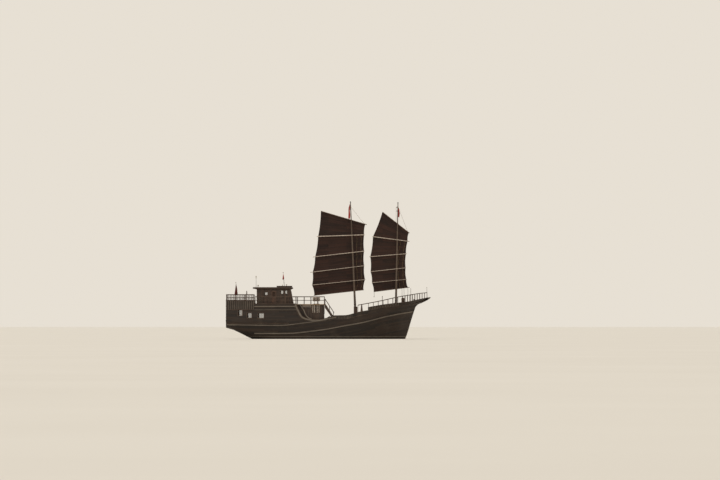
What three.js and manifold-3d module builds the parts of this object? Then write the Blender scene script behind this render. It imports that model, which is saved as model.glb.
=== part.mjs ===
// Two-masted junk with battened sails, afloat. X runs forward, Y to port and Z up, in millimetres,
// and the origin is on the waterline at mid-length.
import * as THREE from "three";
import { mergeVertices } from "three/addons/utils/BufferGeometryUtils.js";
import Module from "manifold-3d";

const wasm = await Module();
wasm.setup();

// Clearances, and how far a cut runs past the face that it opens
const GAP = 0.3;
const PIN_GAP = 0.4;
const LEAF_GAP = 6;
const PAST = 50;

// Hull lines: half-breadths (Y) and heights (Z) at each station (x), from the stern to the stem.
// The surface goes on above the deck edge to half-breadth topY at the height TOP_Z.
const OFFSETS = {
  x: [-13000, -12000, -10500, -8500, -5500, -1500, 2000, 5000, 7000, 8600, 9700],
  keelY: [130, 130, 130, 130, 130, 130, 130, 130, 130, 130, 130],
  keelZ: [1400, 1110, 350, -480, -1150, -1350, -1350, -1300, -1200, -1050, -750],
  bottomY: [1000, 1000, 950, 900, 1300, 1500, 1450, 1100, 650, 350, 131],
  bottomZ: [1425, 1150, 420, -330, -950, -1150, -1150, -1080, -900, -650, -450],
  bilgeY: [1700, 1780, 1850, 2050, 2450, 2600, 2500, 2050, 1350, 750, 132],
  bilgeZ: [1500, 1260, 600, 0, -450, -600, -600, -520, -350, -200, -150],
  waterY: [1950, 2080, 2280, 2560, 2850, 2950, 2880, 2500, 1800, 1050, 133],
  waterZ: [1600, 1400, 860, 380, 150, 100, 100, 150, 300, 450, 600],
  waleY: [2050, 2200, 2440, 2690, 2940, 3080, 3030, 2800, 2250, 1450, 134],
  waleZ: [1700, 1560, 1120, 800, 740, 1080, 1660, 2300, 2750, 3100, 3450],
  deckY: [2250, 2400, 2650, 2860, 3020, 3120, 3090, 2880, 2420, 1750, 180],
  deckZ: [2250, 2220, 2200, 2200, 2200, 2250, 2350, 2600, 3100, 3600, 4300],
  topY: [2050, 2200, 2450, 2680, 2850, 2980, 3120, 3150, 2950, 2450, 560],
};
const LINES = ["keel", "bottom", "bilge", "water", "wale", "deck"];
const TOP_Z = 5000;
const STEM_STATION = 9700;
const LEAN_START = 5000;
const SLOPE_STEP = 40;
const LEAST_HALF = 60;

// Outer profile of the stem timber: height, then how far forward it is
const STEM = [
  [-1800, 8500], [-1200, 9040], [-750, 9400], [0, 9790], [700, 10060], [1980, 10430], [3500, 10900],
  [4050, 11090], [4310, 11320], [4440, 11510], [4560, 11860], [4950, 12660], [5270, 13000],
];
const STEM_DEPTH = 140;
const STEM_HEAD = 4310;
const STEM_LEVELS = [-1199, -1000, -500, 0, 500, 1000, 1500, 2000, 2500, 3000, 3500, 3800, 4050];
const BOW_LEVELS = [STEM_HEAD, 4440, 4560, 4750, 4950, 5110, 5262];
const BOW_PANEL = 80;
const TIMBER_HALF = 120;

// Side walls and bulwarks: thickness, and the height of their top edge along the length
const WALL = 90;
const SEAT = 50;
const STERN_X = -13000;
const AFT_SIDE_END = -2200;
const QUARTER_END = -9400;
const QUARTER_TOP = 4900;
const AFT_SIDE_TOP = 4450;
const BULWARK_TOP = [
  [-2200, 2470], [-1300, 2450], [-300, 2600], [400, 2930], [1300, 2950], [2100, 2960], [3900, 3400],
  [5040, 3600],
];
const SHEER_BREAK = 5040;
const SHEER_BREAK_Z = 3600;
const FORE_BULWARK_TOP = [
  [5040, 3990], [7000, 4330], [8350, 4500], [10000, 4690], [11700, 5040], [12860, 5270],
];
const SWEEP = [
  [-4100, 4460], [-3950, 4050], [-3700, 3560], [-3450, 3050], [-3200, 2790], [-2700, 2560], [-2150, 2468],
  [0, 2468], [0, 5200], [-4100, 5200],
];

// Wales: centre line, how high the timber is and how far it stands proud
const LOWER_WALE = {
  line: [
    [-9400, 690], [-5400, 690], [-2100, 980], [-90, 1260], [2030, 1660], [4140, 2030], [5380, 2330],
    [7400, 2850], [9970, 3330], [10730, 3450],
  ],
  height: 170, proud: 85,
};
const UPPER_WALE = {
  line: [[-12900, 1800], [-6200, 1720], [-3070, 2030], [-1080, 2320], [-90, 2520], [1000, 2740]],
  height: 130, proud: 70,
};
const WALE_BEVEL = 15;

// Decks
const DECK_PLANK = 60;
const FORE_DECK_TOP = [[5040, 3450], [7000, 3760], [8600, 3960], [10000, 4200], [11600, 4540]];
const POOP = { bottom: 4300, top: 4420, aft: -12850, full: -4100, fore: -480, half: 2400 };
const HATCH = { aft: 5950, fore: 7150, half: 560, wall: 60, foot: 3400, floor: 3620, top: 4080, lid: 70 };

// Mid cabin and wheelhouse
const CABIN = { aft: -4100, fore: -540, half: 2200, wall: 60, low: 2200, out: 2950 };
const SALOON_DOOR = { width: 650, high: 1780, sill: 60, thick: 45, set: 10 };
const HOUSE = { aft: -9080, floorFore: -4450, roofFore: -4830, half: 1700, wall: 60, top: 6300 };
const HOUSE_DOOR = {
  aft: -7260, width: 650, high: 1700, sill: 60, thick: 45, set: 5, light: [5350, 5950], stile: 150,
};
const KNUCKLE = { radius: 12, long: 70, off: 14, low: 250, high: 400 };
const ROOF = {
  aft: -9560, aftFull: -9150, foreFull: -4770, fore: -4580, half: 2000, crown: 6570, camber: 60, edge: 110,
  ys: [-2000, -1750, -1200, -600, 0, 600, 1200, 1750, 2000],
};
const ROOF_STEP = { aft: -6570, fore: -4650, half: 1300, low: 6400, top: 6730 };
const ROOF_POLES = [
  { foot: [-9250, 900, 6350], head: [-9250, 900, 7750], low: 22, high: 14 },
  { foot: [-5620, 0, 6600], head: [-5780, 0, 8430], low: 30, high: 17 },
];
const HELM = { x: -5450, z: 5450, rim: 345, reach: 440, spokes: 6 };

// Windows in walls along the boat, as [aft x, fore x, low z, high z]
const AFT_WINDOWS = [[-11460, -10900, 2920, 3700], [-10320, -9700, 2650, 3330], [-8920, -8150, 2620, 3300]];
const CABIN_WINDOWS = [[-2100, -1030, 3380, 4180]];
const HOUSE_WINDOWS = [[-8150, -7700, 5560, 5960], [-6100, -5720, 5700, 6180], [-5550, -5220, 5700, 6180]];

// Windows in walls across the boat
const STERN_WINDOWS = { ys: [-900, 900], half: 330, low: 2950, high: 3650 };
const SALOON_WINDOWS = { ys: [-1600, 1600], half: 300, low: 3200, high: 3950 };
const HOUSE_FRONT_WINDOWS = { ys: [-1250, -420, 420, 1250], half: 340, low: 5560, high: 6120 };
const HOUSE_BACK_WINDOWS = { ys: [-850, 850], half: 350, low: 5400, high: 5950 };

// Stairs from the poop to the waist
const STAIR = {
  foot: 860, inner: -1350, outer: -2050, steps: 8, cheek: 50, deep: 420, plank: 40, rail: 690, post: 44,
};

// Rails: the height of each top edge, and the fore rail's as a line of [x, z]
const POOP_RAIL_TOP = 5400;
const STERN_RAIL_TOP = 5670;
const FORE_RAIL_TOP = [[3760, 4330], [6700, 4890], [8830, 5370], [10250, 5610], [11500, 5820], [12560, 5930]];
const STOUT_POST = { x: 4230, low: 160, high: 60, half: 30 };
const STERN_STAFF = { foot: [-11520, 5640], head: [-11740, 7130], headY: -2130, low: 38, high: 18 };
const JACK_STAFF = { foot: [12560, 5880], head: [12540, 6500], low: 24, high: 14 };

// Life-raft canister on its cradle on the poop
const CANISTER = { aft: -2000, fore: -1050, y: -1720, z: 5080, radius: 290, saddles: [-1760, -1290], wide: 60 };

// Masts: foot and head as [x, z], radius at each end
const MASTS = {
  main: { foot: [3460, 2640], head: [2800, 17400], low: 155, high: 50 },
  fore: { foot: [8590, 4070], head: [8860, 17300], low: 145, high: 48 },
};
const TABERNACLES = { main: { carrier: "main_deck", top: 4100 }, fore: { carrier: "fore_deck", top: 4600 } };
const TABERNACLE = { long: 240, off: 20, cheek: 80, sole: 80, foot: 300 };

// Sails: each row is a spar as [name, aft x, aft z, fore x, fore z, radius, cloth aft x, cloth fore x]
const CLOTH_Y = 240;
const CLOTH_THICK = 14;
const SAILS = {
  main: [
    ["yard", -960, 16280, 4880, 14570, 55, -950, 4670],
    ["batten_1", -1480, 13056, 4620, 13274, 60, -1300, 4530],
    ["batten_2", -1990, 10440, 4600, 11192, 50, -1680, 4520],
    ["batten_3", -2320, 8480, 4600, 9333, 40, -1990, 4520],
    ["batten_4", -2130, 6860, 4740, 7575, 36, -2070, 4640],
    ["boom", -1880, 5540, 4520, 6250, 46, -1780, 4440],
  ],
  fore: [
    ["yard", 6880, 16180, 10330, 13490, 50, 6900, 10230],
    ["batten_1", 5600, 13050, 10330, 12424, 55, 5690, 10080],
    ["batten_2", 5200, 10472, 10000, 10861, 48, 5350, 9870],
    ["batten_3", 5360, 8562, 9880, 9063, 38, 5390, 9820],
    ["batten_4", 5500, 7158, 9990, 7596, 34, 5560, 9910],
    ["boom", 5760, 6009, 10330, 6579, 44, 5790, 10110],
  ],
};
const PARREL = { thick: 34, high: 60, lug: 28, lugHigh: 24, below: 40 };

// Windlass across the fore deck, with bars in both ends of its shaft
const WINDLASS = {
  x: 9500, z: 4790, half: 560, radius: 125, axle: 42, foot: 3900, cheek: 80, long: 190, head: 430, baseHigh: 70,
  whelps: 6, bars: 4, barAt: 110, reach: 330, shaftEnd: 140,
};

// Under water
const PROPELLER = { x: -8680, z: -1120, radius: 500, hub: 115, blades: 4, boss: 130, pitch: 620 };
const RUDDER = {
  stock: -9600, stockRadius: 60, stockTop: 420, aft: -10550, fore: -9360, low: -1640, high: -120, thick: 110,
};
const TRUNK = [-700, 600];
const KEEL_LOW = -1800;
const SHOE_TOP = -1660;
const POST_AFT = -8350;
const KEEL_OUTLINE = [
  [-9760, KEEL_LOW], [7900, KEEL_LOW], [8500, -1700], [8800, -1480], [9038, -1200], [8500, -950], [7000, -900],
  [5000, -1000], [-5500, -900], [POST_AFT, -200], [POST_AFT, SHOE_TOP], [-9760, SHOE_TOP],
];

const COLOURS = {
  hull: [0x2c211a, 0.75], wale: [0x6b6258, 0.8], deck: [0x6a5440, 0.8], house: [0x3b2a1f, 0.7],
  roof: [0x4a3a2e, 0.8], mast: [0x5a4634, 0.65], cloth: [0x4a2018, 0.9], batten: [0xa08a74, 0.7], rail: [0x4b3829, 0.7],
  bronze: [0x7a6238, 0.45, 0.8], bottom: [0x5a2a20, 0.8], canister: [0xb9b1a4, 0.5],
};

const group = new THREE.Group();
const solids = {};

// Smooth line through the knots [x, value] with no overshoot
function smooth(knots, x) {
  const n = knots.length;
  if (x <= knots[0][0]) return knots[0][1];
  if (x >= knots[n - 1][0]) return knots[n - 1][1];
  const rise = (i) => (knots[i + 1][1] - knots[i][1]) / (knots[i + 1][0] - knots[i][0]);
  const slope = (i) => {
    if (i === 0) return rise(0);
    if (i === n - 1) return rise(n - 2);
    const a = rise(i - 1);
    const b = rise(i);
    return a * b <= 0 ? 0 : (2 * a * b) / (a + b);
  };
  let i = 0;
  while (x > knots[i + 1][0]) i += 1;
  const w = knots[i + 1][0] - knots[i][0];
  const t = (x - knots[i][0]) / w;
  const a = knots[i][1] * (2 * t ** 3 - 3 * t ** 2 + 1) + knots[i + 1][1] * (3 * t ** 2 - 2 * t ** 3);
  return a + w * (slope(i) * (t ** 3 - 2 * t ** 2 + t) + slope(i + 1) * (t ** 3 - t ** 2));
}

// Straight lines through the knots
function straight(knots, x) {
  const i = Math.max(0, Math.min(knots.length - 2, knots.findIndex((k) => k[0] >= x) - 1));
  const [a, b] = [knots[i], knots[i + 1]];
  return a[1] + ((b[1] - a[1]) * (x - a[0])) / (b[0] - a[0]);
}

const offset = (name, station) => smooth(OFFSETS.x.map((x, i) => [x, OFFSETS[name][i]]), station);
const stemX = (z) => straight(STEM, z);

// Where a station lies at a height: stations lean forward to follow the stem
function leanX(station, z) {
  const s = Math.max(0, (station - LEAN_START) / (STEM_STATION - LEAN_START));
  return station + (stemX(z) - STEM_DEPTH - STEM_STATION) * s * s;
}

// The station that passes through x at height z
function stationAt(x, z) {
  let low = OFFSETS.x[0];
  let high = STEM_STATION;
  for (let i = 0; i < 40; i += 1) {
    const mid = (low + high) / 2;
    if (leanX(mid, z) < x) low = mid;
    else high = mid;
  }
  return (low + high) / 2;
}

// Half-breadth of the hull and side surface at a station and height
function halfBreadth(station, z) {
  const knots = LINES.map((n) => [offset(n + "Z", station), offset(n + "Y", station)]);
  knots.push([TOP_Z, offset("topY", station)]);
  return straight(knots, z);
}

const sideAt = (x, z) => halfBreadth(stationAt(x, z), z);

// How deep across the boat a wall of the given thickness is, where the side slants in plan
function wallDepth(station, z) {
  const [before, after] = [station - SLOPE_STEP, station + SLOPE_STEP];
  const slope = (halfBreadth(after, z) - halfBreadth(before, z)) / (leanX(after, z) - leanX(before, z));
  return Math.min(WALL * Math.min(2, Math.hypot(1, slope)), halfBreadth(station, z) - LEAST_HALF);
}

// Height at a station of a line that is given by [x, z] knots
function heightOn(knots, station) {
  let z = knots[0][1];
  for (let i = 0; i < 12; i += 1) z = smooth(knots, leanX(station, z));
  return z;
}

// A piece cut clear of its neighbours, each moved by the gap in each of the directions given
function cleared(piece, names, directions) {
  const near = names.flatMap((n) => directions.map((v) => solids[n].translate(v.map((d) => d * GAP))));
  return mainBody(near.reduce((p, n) => p.subtract(n), piece));
}

// A closed mesh as a solid, turned to face out
function solidOf(points, faces) {
  const make = (f) => new wasm.Manifold(new wasm.Mesh({
    numProp: 3, vertProperties: new Float32Array(points.flat()), triVerts: new Uint32Array(f.flat()),
  }));
  const made = make(faces);
  return made.volume() > 0 ? made : make(faces.map(([a, b, c]) => [a, c, b]));
}

function solidFrom(geometry) {
  const bare = geometry.index ? geometry.toNonIndexed() : geometry.clone();
  const points = new THREE.BufferGeometry().setAttribute("position", bare.getAttribute("position"));
  const merged = mergeVertices(points, 1e-3);
  const vertProperties = merged.attributes.position.array;
  const triVerts = new Uint32Array(merged.index.array);
  return new wasm.Manifold(new wasm.Mesh({ numProp: 3, vertProperties, triVerts }));
}

// Skin over rings of points, where point i of a ring faces point n - 1 - i across it,
// with the quads split alike on both sides
function loft(rings) {
  const n = rings[0].length;
  const faces = [];
  const quad = (a, b, c, d) => faces.push([a, b, c], [a, c, d]);
  for (let r = 0; r < rings.length - 1; r += 1)
    for (let i = 0; i < n; i += 1) {
      const j = (i + 1) % n;
      if (i < n / 2) quad(r * n + i, r * n + j, (r + 1) * n + j, (r + 1) * n + i);
      else quad(r * n + j, (r + 1) * n + j, (r + 1) * n + i, r * n + i);
    }
  const last = (rings.length - 1) * n;
  for (let i = 0; i < n / 2 - 1; i += 1) {
    quad(n - 1 - i, n - 2 - i, i + 1, i);
    quad(last + i, last + i + 1, last + n - 2 - i, last + n - 1 - i);
  }
  return solidOf(rings.flat(), faces);
}

// Values from a to b in steps no longer than step
function range(a, b, step) {
  const n = Math.max(1, Math.ceil(Math.abs(b - a) / step));
  return Array.from({ length: n + 1 }, (_, i) => a + ((b - a) * i) / n);
}

const union = (list) => list.reduce((a, b) => a.add(b));
const mirrored = (s) => s.mirror([0, 1, 0]);

// The main body of a cut piece, without the slivers left beyond the cut
const mainBody = (s) => s.decompose().sort((a, b) => b.volume() - a.volume())[0];

function block(x0, x1, y0, y1, z0, z1) {
  const g = new THREE.BoxGeometry(x1 - x0, y1 - y0, z1 - z0);
  return solidFrom(g.translate((x0 + x1) / 2, (y0 + y1) / 2, (z0 + z1) / 2));
}

// Holes for windows: in walls along the boat between y0 and y1, and across it between x0 and x1
const holesAlong = (windows, y0, y1) => windows.map(([a, b, low, high]) => block(a, b, y0, y1, low, high));
function holesAcross({ ys, half, low, high }, x0, x1) {
  return ys.map((y) => block(x0, x1, y - half, y + half, low, high));
}

// Turns a geometry made along +Y to run from a to b, centred between them
function alongLine(g, a, b) {
  const from = new THREE.Vector3(...a);
  const to = new THREE.Vector3(...b);
  const way = to.clone().sub(from).normalize();
  const turn = new THREE.Quaternion().setFromUnitVectors(new THREE.Vector3(0, 1, 0), way);
  const mid = from.add(to).multiplyScalar(0.5);
  return g.applyQuaternion(turn).translate(mid.x, mid.y, mid.z);
}

function rod(a, b, radius, endRadius = radius, sides = 10) {
  const long = new THREE.Vector3(...a).distanceTo(new THREE.Vector3(...b));
  return solidFrom(alongLine(new THREE.CylinderGeometry(endRadius, radius, long, sides), a, b));
}

// Ring round the line through p in the given direction
function ringOn(p, direction, inner, outer, high, sides = 12) {
  const h = high / 2;
  const profile = [[inner, -h], [outer, -h], [outer, h], [inner, h], [inner, -h]];
  const g = new THREE.LatheGeometry(profile.map(([r, up]) => new THREE.Vector2(r, up)), sides);
  const d = new THREE.Vector3(...direction);
  const a = new THREE.Vector3(...p).sub(d);
  const b = new THREE.Vector3(...p).add(d);
  return solidFrom(alongLine(g, a.toArray(), b.toArray()));
}

// Flat bar along a path of [x, y, z] points, mitred at its corners, wide in plan and high in Z
function bar(path, wide, high) {
  const turn = (a, b) => new THREE.Vector2(b[0] - a[0], b[1] - a[1]).normalize();
  return loft(path.map((p, i) => {
    const before = turn(path[Math.max(0, i - 1)], path[Math.max(1, i)]);
    const after = turn(path[Math.min(path.length - 2, i)], path[Math.min(path.length - 1, i + 1)]);
    const along = before.clone().add(after).normalize();
    const half = wide / 2 / along.dot(before);
    const [sx, sy] = [-along.y * half, along.x * half];
    return [
      [p[0] + sx, p[1] + sy, p[2] - high / 2], [p[0] + sx, p[1] + sy, p[2] + high / 2],
      [p[0] - sx, p[1] - sy, p[2] + high / 2], [p[0] - sx, p[1] - sy, p[2] - high / 2],
    ];
  }));
}

// Shape in the X-Z plane, pushed through Y from y0 to y1
function plate(outline, y0, y1) {
  const shape = new THREE.Shape(outline.map(([x, z]) => new THREE.Vector2(x, z)));
  const g = new THREE.ExtrudeGeometry(shape, { depth: y1 - y0, bevelEnabled: false });
  return solidFrom(g.rotateX(Math.PI / 2).translate(0, y1, 0));
}

function put(name, solid, [color, roughness, metalness = 0]) {
  const made = solid.getMesh();
  const g = new THREE.BufferGeometry();
  g.setAttribute("position", new THREE.BufferAttribute(made.vertProperties, 3));
  g.setIndex(new THREE.BufferAttribute(made.triVerts, 1));
  const mesh = new THREE.Mesh(g, new THREE.MeshStandardMaterial({ color, roughness, metalness }));
  mesh.name = name;
  group.add(mesh);
  solids[name] = solid;
}

// A piece and its mirror image on the other side
function putPair(name, starboard, look) {
  put(name + "_starboard", starboard, look);
  put(name + "_port", mirrored(starboard), look);
}

// Strip of wall on the starboard side between two heights, following the hull surface
function sideStrip(stations, low, high, levels) {
  return loft(stations.map((s) => {
    const zs = Array.from({ length: levels + 1 }, (_, i) => low(s) + ((high(s) - low(s)) * i) / levels);
    const at = (z, y) => [leanX(s, z), -(halfBreadth(s, z) - y), z];
    return [...zs.map((z) => at(z, 0)), ...zs.reverse().map((z) => at(z, wallDepth(s, z)))];
  }));
}

// Slab across the boat between two heights
function slab(stations, low, high, inset) {
  return loft(stations.map((s) => {
    const at = (z, side) => [leanX(s, z), side * (halfBreadth(s, z) - inset), z];
    return [at(low(s), -1), at(high(s), -1), at(high(s), 1), at(low(s), 1)];
  }));
}

// Hull stations, with the ends of the walls above among them, so that their edges meet the hull's
const breakStation = stationAt(SHEER_BREAK, SHEER_BREAK_Z);
const hullStations = [
  ...range(STERN_X, QUARTER_END, 900), ...range(QUARTER_END + 1, AFT_SIDE_END, 1500),
  ...range(AFT_SIDE_END, breakStation, 1500).slice(1), ...range(breakStation + 1, STEM_STATION, 500),
];
const stationsFrom = (a, b) => [a, ...hullStations.filter((s) => s > a + 2 && s < b - 2), b];

// Hull

function hullRing(s) {
  const side = LINES.map((n) => [offset(n + "Y", s), offset(n + "Z", s)]).reverse();
  const at = ([y, z], sign) => [leanX(s, z), sign * y, z];
  return [...side.map((p) => at(p, -1)), ...[...side].reverse().map((p) => at(p, 1))];
}
const hullBody = loft(hullStations.map(hullRing));
const [trunkLow, trunkHigh] = TRUNK.map((z) => [RUDDER.stock, 0, z]);
const trunk = rod(trunkLow, trunkHigh, RUDDER.stockRadius + LEAF_GAP, undefined, 16);
put("hull", hullBody.subtract(trunk), COLOURS.hull);

const deckEdge = (s) => offset("deckZ", s);
const aboveHull = (s) => deckEdge(s) + GAP;
const deckTop = (x) => deckEdge(x) + DECK_PLANK;
const foreDeckTop = (x) => smooth(FORE_DECK_TOP, x);

// Side walls of the aft house, with the sweep down to the waist and three windows each
function aftSide() {
  const tops = [
    [STERN_X, QUARTER_TOP], [QUARTER_END, QUARTER_TOP], [QUARTER_END + 1, AFT_SIDE_TOP], [0, AFT_SIDE_TOP],
  ];
  const stations = hullStations.filter((s) => s <= AFT_SIDE_END);
  const wall = sideStrip(stations, aboveHull, (s) => straight(tops, s), 2);
  const [out, inside] = [-3500, -1500];
  return wall.subtract(union([plate(SWEEP, out, inside), ...holesAlong(AFT_WINDOWS, out, inside)]));
}
putPair("aft_side", aftSide(), COLOURS.hull);

// Bulwarks from the sweep to the beak, with the step up to the fore deck
function bulwark() {
  const top = (s) => (s <= breakStation ? smooth(BULWARK_TOP, s) : heightOn(FORE_BULWARK_TOP, s));
  const waist = stationsFrom(AFT_SIDE_END + GAP, breakStation);
  return sideStrip([...waist, ...stationsFrom(breakStation + 1, STEM_STATION)], aboveHull, top, 4);
}
putPair("bulwark", bulwark(), COLOURS.hull);

// A piece between the side walls, cut clear of them on both sides
function clearOfSides(piece, names) {
  return [["_starboard", 1], ["_port", -1]].reduce((p, [side, y]) => {
    const directions = [[0, y, 0], [1, y, 0], [-1, y, 0], [1, 0, 0], [0, y, -2]];
    return cleared(p, names.map((n) => n + side), directions);
  }, piece);
}

// Raking bow panel between the bulwarks, above the stem
function bowPanel() {
  const panel = loft(BOW_LEVELS.map((z) => {
    const x = leanX(STEM_STATION, z);
    const half = halfBreadth(STEM_STATION, z) - WALL / 2;
    return [[x - BOW_PANEL, -half, z], [x, -half, z], [x, half, z], [x - BOW_PANEL, half, z]];
  }));
  return clearOfSides(panel, ["bulwark"]);
}
put("bow_panel", bowPanel(), COLOURS.hull);

// Decks
function mainDeck() {
  const stations = stationsFrom(STERN_X + 120, breakStation - 10);
  return clearOfSides(slab(stations, aboveHull, deckTop, SEAT), ["aft_side", "bulwark"]);
}
put("main_deck", mainDeck(), COLOURS.deck);

function foreDeck() {
  const { aft, fore, half, wall, foot, floor, top } = HATCH;
  const stations = stationsFrom(breakStation, STEM_STATION - 90);
  const deck = slab(stations, aboveHull, (s) => heightOn(FORE_DECK_TOP, s), SEAT);
  const coaming = block(aft, fore, -half, half, foot, top);
  const well = block(aft + wall, fore - wall, -half + wall, half - wall, floor, top + PAST);
  const made = clearOfSides(deck, ["bulwark"]).add(coaming).subtract(well);
  return made.subtract(solids.hull.translate([0, 0, GAP])).subtract(solids.bow_panel.translate([-GAP, 0, 0]));
}
put("fore_deck", foreDeck(), COLOURS.deck);

function poopDeck() {
  const { bottom, top, aft, full, fore, half } = POOP;
  const aftPart = slab(range(aft, full, 1200), () => bottom, () => top, SEAT);
  const whole = aftPart.add(block(full - 10, fore, -half, half, bottom, top));
  return clearOfSides(whole, ["aft_side"]);
}
put("poop_deck", poopDeck(), COLOURS.deck);

// Stern wall between the side walls, with two windows
function sternWall() {
  const wall = slab([STERN_X + 10, STERN_X + 100], () => aboveHull(STERN_X), () => QUARTER_TOP, SEAT);
  const holes = holesAcross(STERN_WINDOWS, STERN_X - PAST, STERN_X + 100 + PAST);
  const cut = union([...holes, solids.main_deck.translate([-GAP, 0, 0])]);
  return clearOfSides(wall, ["aft_side"]).subtract(cut);
}
put("stern_wall", sternWall(), COLOURS.hull);

// Wales lie on the hull's outer surface
function wale({ line, height, proud }) {
  const rings = range(line[0][0], line[line.length - 1][0], 700).map((x) => {
    const z = smooth(line, x);
    const at = (dz, out) => {
      const station = stationAt(x, z + dz);
      return [leanX(station, z + dz), -(halfBreadth(station, z + dz) + out), z + dz];
    };
    const face = height / 2 - WALE_BEVEL;
    return [at(-height / 2, -SEAT), at(-face, proud), at(face, proud), at(height / 2, -SEAT)];
  });
  const carriers = ["hull", "aft_side_starboard", "bulwark_starboard"];
  const near = carriers.map((n) => solids[n].translate([0, -GAP, 0]));
  const seam = solids.hull.translate([0, -GAP, 2 * GAP]);
  return mainBody(loft(rings).subtract(union([...near, seam])));
}
putPair("lower_wale", wale(LOWER_WALE), COLOURS.wale);
putPair("upper_wale", wale(UPPER_WALE), COLOURS.wale);

// Keel with deadwood and heel shoe, and the boss that the propeller turns on
function keel() {
  const { z, boss } = PROPELLER;
  const barrel = rod([POST_AFT - 150, 0, z], [POST_AFT + 200, 0, z], boss, undefined, 16);
  const timber = plate(KEEL_OUTLINE, -TIMBER_HALF, TIMBER_HALF).add(barrel);
  return timber.subtract(solids.hull.translate([0, 0, -GAP]));
}
put("keel", keel(), COLOURS.bottom);

function stem() {
  const nose = TIMBER_HALF / 2;
  const timber = loft([...STEM_LEVELS, STEM_HEAD - 1, ...BOW_LEVELS].map((z) => {
    const x = stemX(z);
    const back = z < STEM_HEAD ? STEM_DEPTH + 200 : STEM_DEPTH - 3 * GAP;
    return [[x - back, -TIMBER_HALF, z], [x, -nose, z], [x, nose, z], [x - back, TIMBER_HALF, z]];
  }));
  const fromHull = cleared(timber, ["hull"], [[1, 0, 0], [0, 0, -1], [0, 1, 0], [0, -1, 0], [1, 0, 2]]);
  const walls = ["bow_panel", "fore_deck", "bulwark_starboard", "bulwark_port"];
  const fromWalls = cleared(fromHull, walls, [[1, 0, 0], [1, 0, -1], [0, 0, -1], [0, 1, 0], [0, -1, 0]]);
  return cleared(fromWalls, ["keel"], [[0, 0, 1]]);
}
put("stem", stem(), COLOURS.wale);

// Mid cabin: side walls with a return to the aft side, and the bulkhead with the doorway
function cabinSide() {
  const { aft, fore, half, wall, low, out } = CABIN;
  const high = POOP.bottom - GAP;
  const side = block(aft, fore - wall - GAP, -half, -half + wall, low, high);
  const back = block(aft, aft + wall, -out, -half + wall, low, high);
  const holes = union(holesAlong(CABIN_WINDOWS, -half - PAST, -half + wall + PAST));
  const whole = side.add(back).subtract(holes).subtract(solids.main_deck.translate([0, 0, GAP]));
  const outer = solids.aft_side_starboard;
  return mainBody(whole.subtract(outer.translate([0, GAP, 0]).add(outer.translate([0, 0, GAP]))));
}
putPair("cabin_side", cabinSide(), COLOURS.house);

// Hinge knuckles on a vertical axis at (x, y): fixed ones below, the leaf's own just above them,
// each with an arm between two heights
function knuckles(x, y, [low, high], fixedArm, leafArm) {
  const { radius, long } = KNUCKLE;
  const one = (z, arm) => rod([x, y, z], [x, y, z + long], radius, undefined, 8).add(arm(z, z + long));
  const heights = [low + KNUCKLE.low, high - KNUCKLE.high];
  return {
    fixed: union(heights.map((z) => one(z, fixedArm))),
    moving: union(heights.map((z) => one(z + long + GAP, leafArm))),
  };
}

function saloonFront() {
  const { fore, half, wall } = CABIN;
  const { width, high, sill, thick, set } = SALOON_DOOR;
  const floor = deckTop(fore);
  const [low, head] = [floor + sill, floor + sill + high];
  const opening = width + LEAF_GAP;
  const aft = fore - wall;
  const panel = block(aft, fore, -half, half, floor - DECK_PLANK / 2, POOP.bottom - GAP);
  const doorway = block(aft - PAST, fore + PAST, -opening, opening, low, head);
  const holes = [doorway, ...holesAcross(SALOON_WINDOWS, aft - PAST, fore + PAST)];
  const axisX = fore + KNUCKLE.off;
  const fixedArm = (a, b) => block(fore - 20, axisX, -opening - 40, -opening + 6, a, b);
  const leafArm = (a, b) => block(fore - 30, axisX, -opening + 1, -opening + 60, a, b);
  const { fixed, moving } = knuckles(axisX, -opening, [low, head], fixedArm, leafArm);
  const outside = fixed.subtract(block(aft, fore + 1, -opening, 0, low, head));
  const frame = panel.subtract(union(holes)).add(outside).add(mirrored(outside));
  const leafAft = aft + set;
  const leaf = block(leafAft, leafAft + thick, -width, -LEAF_GAP / 2, low + LEAF_GAP, head - LEAF_GAP);
  return { frame: frame.subtract(solids.main_deck.translate([0, 0, GAP])), leaf: leaf.add(moving) };
}
const saloon = saloonFront();
put("saloon_front", saloon.frame, COLOURS.house);
putPair("saloon_door", saloon.leaf, COLOURS.house);

// Stairs from the poop to the waist, each with two handrails
function stair() {
  const { foot: footX, inner, outer, steps, cheek, deep, plank, rail, post } = STAIR;
  const [top, foot] = [[POOP.fore + GAP, POOP.top], [footX, deckTop(footX)]];
  const [toe, sunk] = [foot[0] + 60, foot[1] - 25];
  const board = (y) => plate([
    [top[0], top[1]], [top[0], top[1] - deep], [foot[0] - 160, sunk], [toe, sunk],
    [toe, foot[1] + 60], [top[0] + 120, top[1]],
  ], y, y + cheek);
  const treads = Array.from({ length: steps }, (_, i) => {
    const t = (i + 1) / (steps + 1);
    const x = top[0] + 60 + t * (foot[0] - top[0] - 60);
    const z = top[1] + t * (foot[1] - top[1]);
    return block(x - 110, x + 130, outer + 20, inner + 20, z - plank, z);
  });
  const slope = (foot[1] - top[1]) / (foot[0] - top[0]);
  const hand = (y) => {
    const at = (x) => [x, y, top[1] + rail + slope * (x - top[0])];
    const posts = [-430, 130, 640].map((x) => {
      const z = at(x)[2];
      return block(x - post / 2, x + post / 2, y - post / 2, y + post / 2, z - rail - 30, z);
    });
    return union([bar([at(-460), at(720)], 50, 60), ...posts]);
  };
  const sides = [outer, inner].flatMap((y) => [board(y), hand(y + cheek / 2)]);
  const whole = union([...sides, ...treads]);
  return whole.subtract(solids.main_deck.translate([0, 0, GAP]));
}
putPair("stair", stair(), COLOURS.rail);

// Wheelhouse
const houseLow = POOP.top + GAP;
const houseHigh = HOUSE.top - GAP;
const houseForeX = (z) => straight([[POOP.top, HOUSE.floorFore], [HOUSE.top, HOUSE.roofFore]], z);

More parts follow.
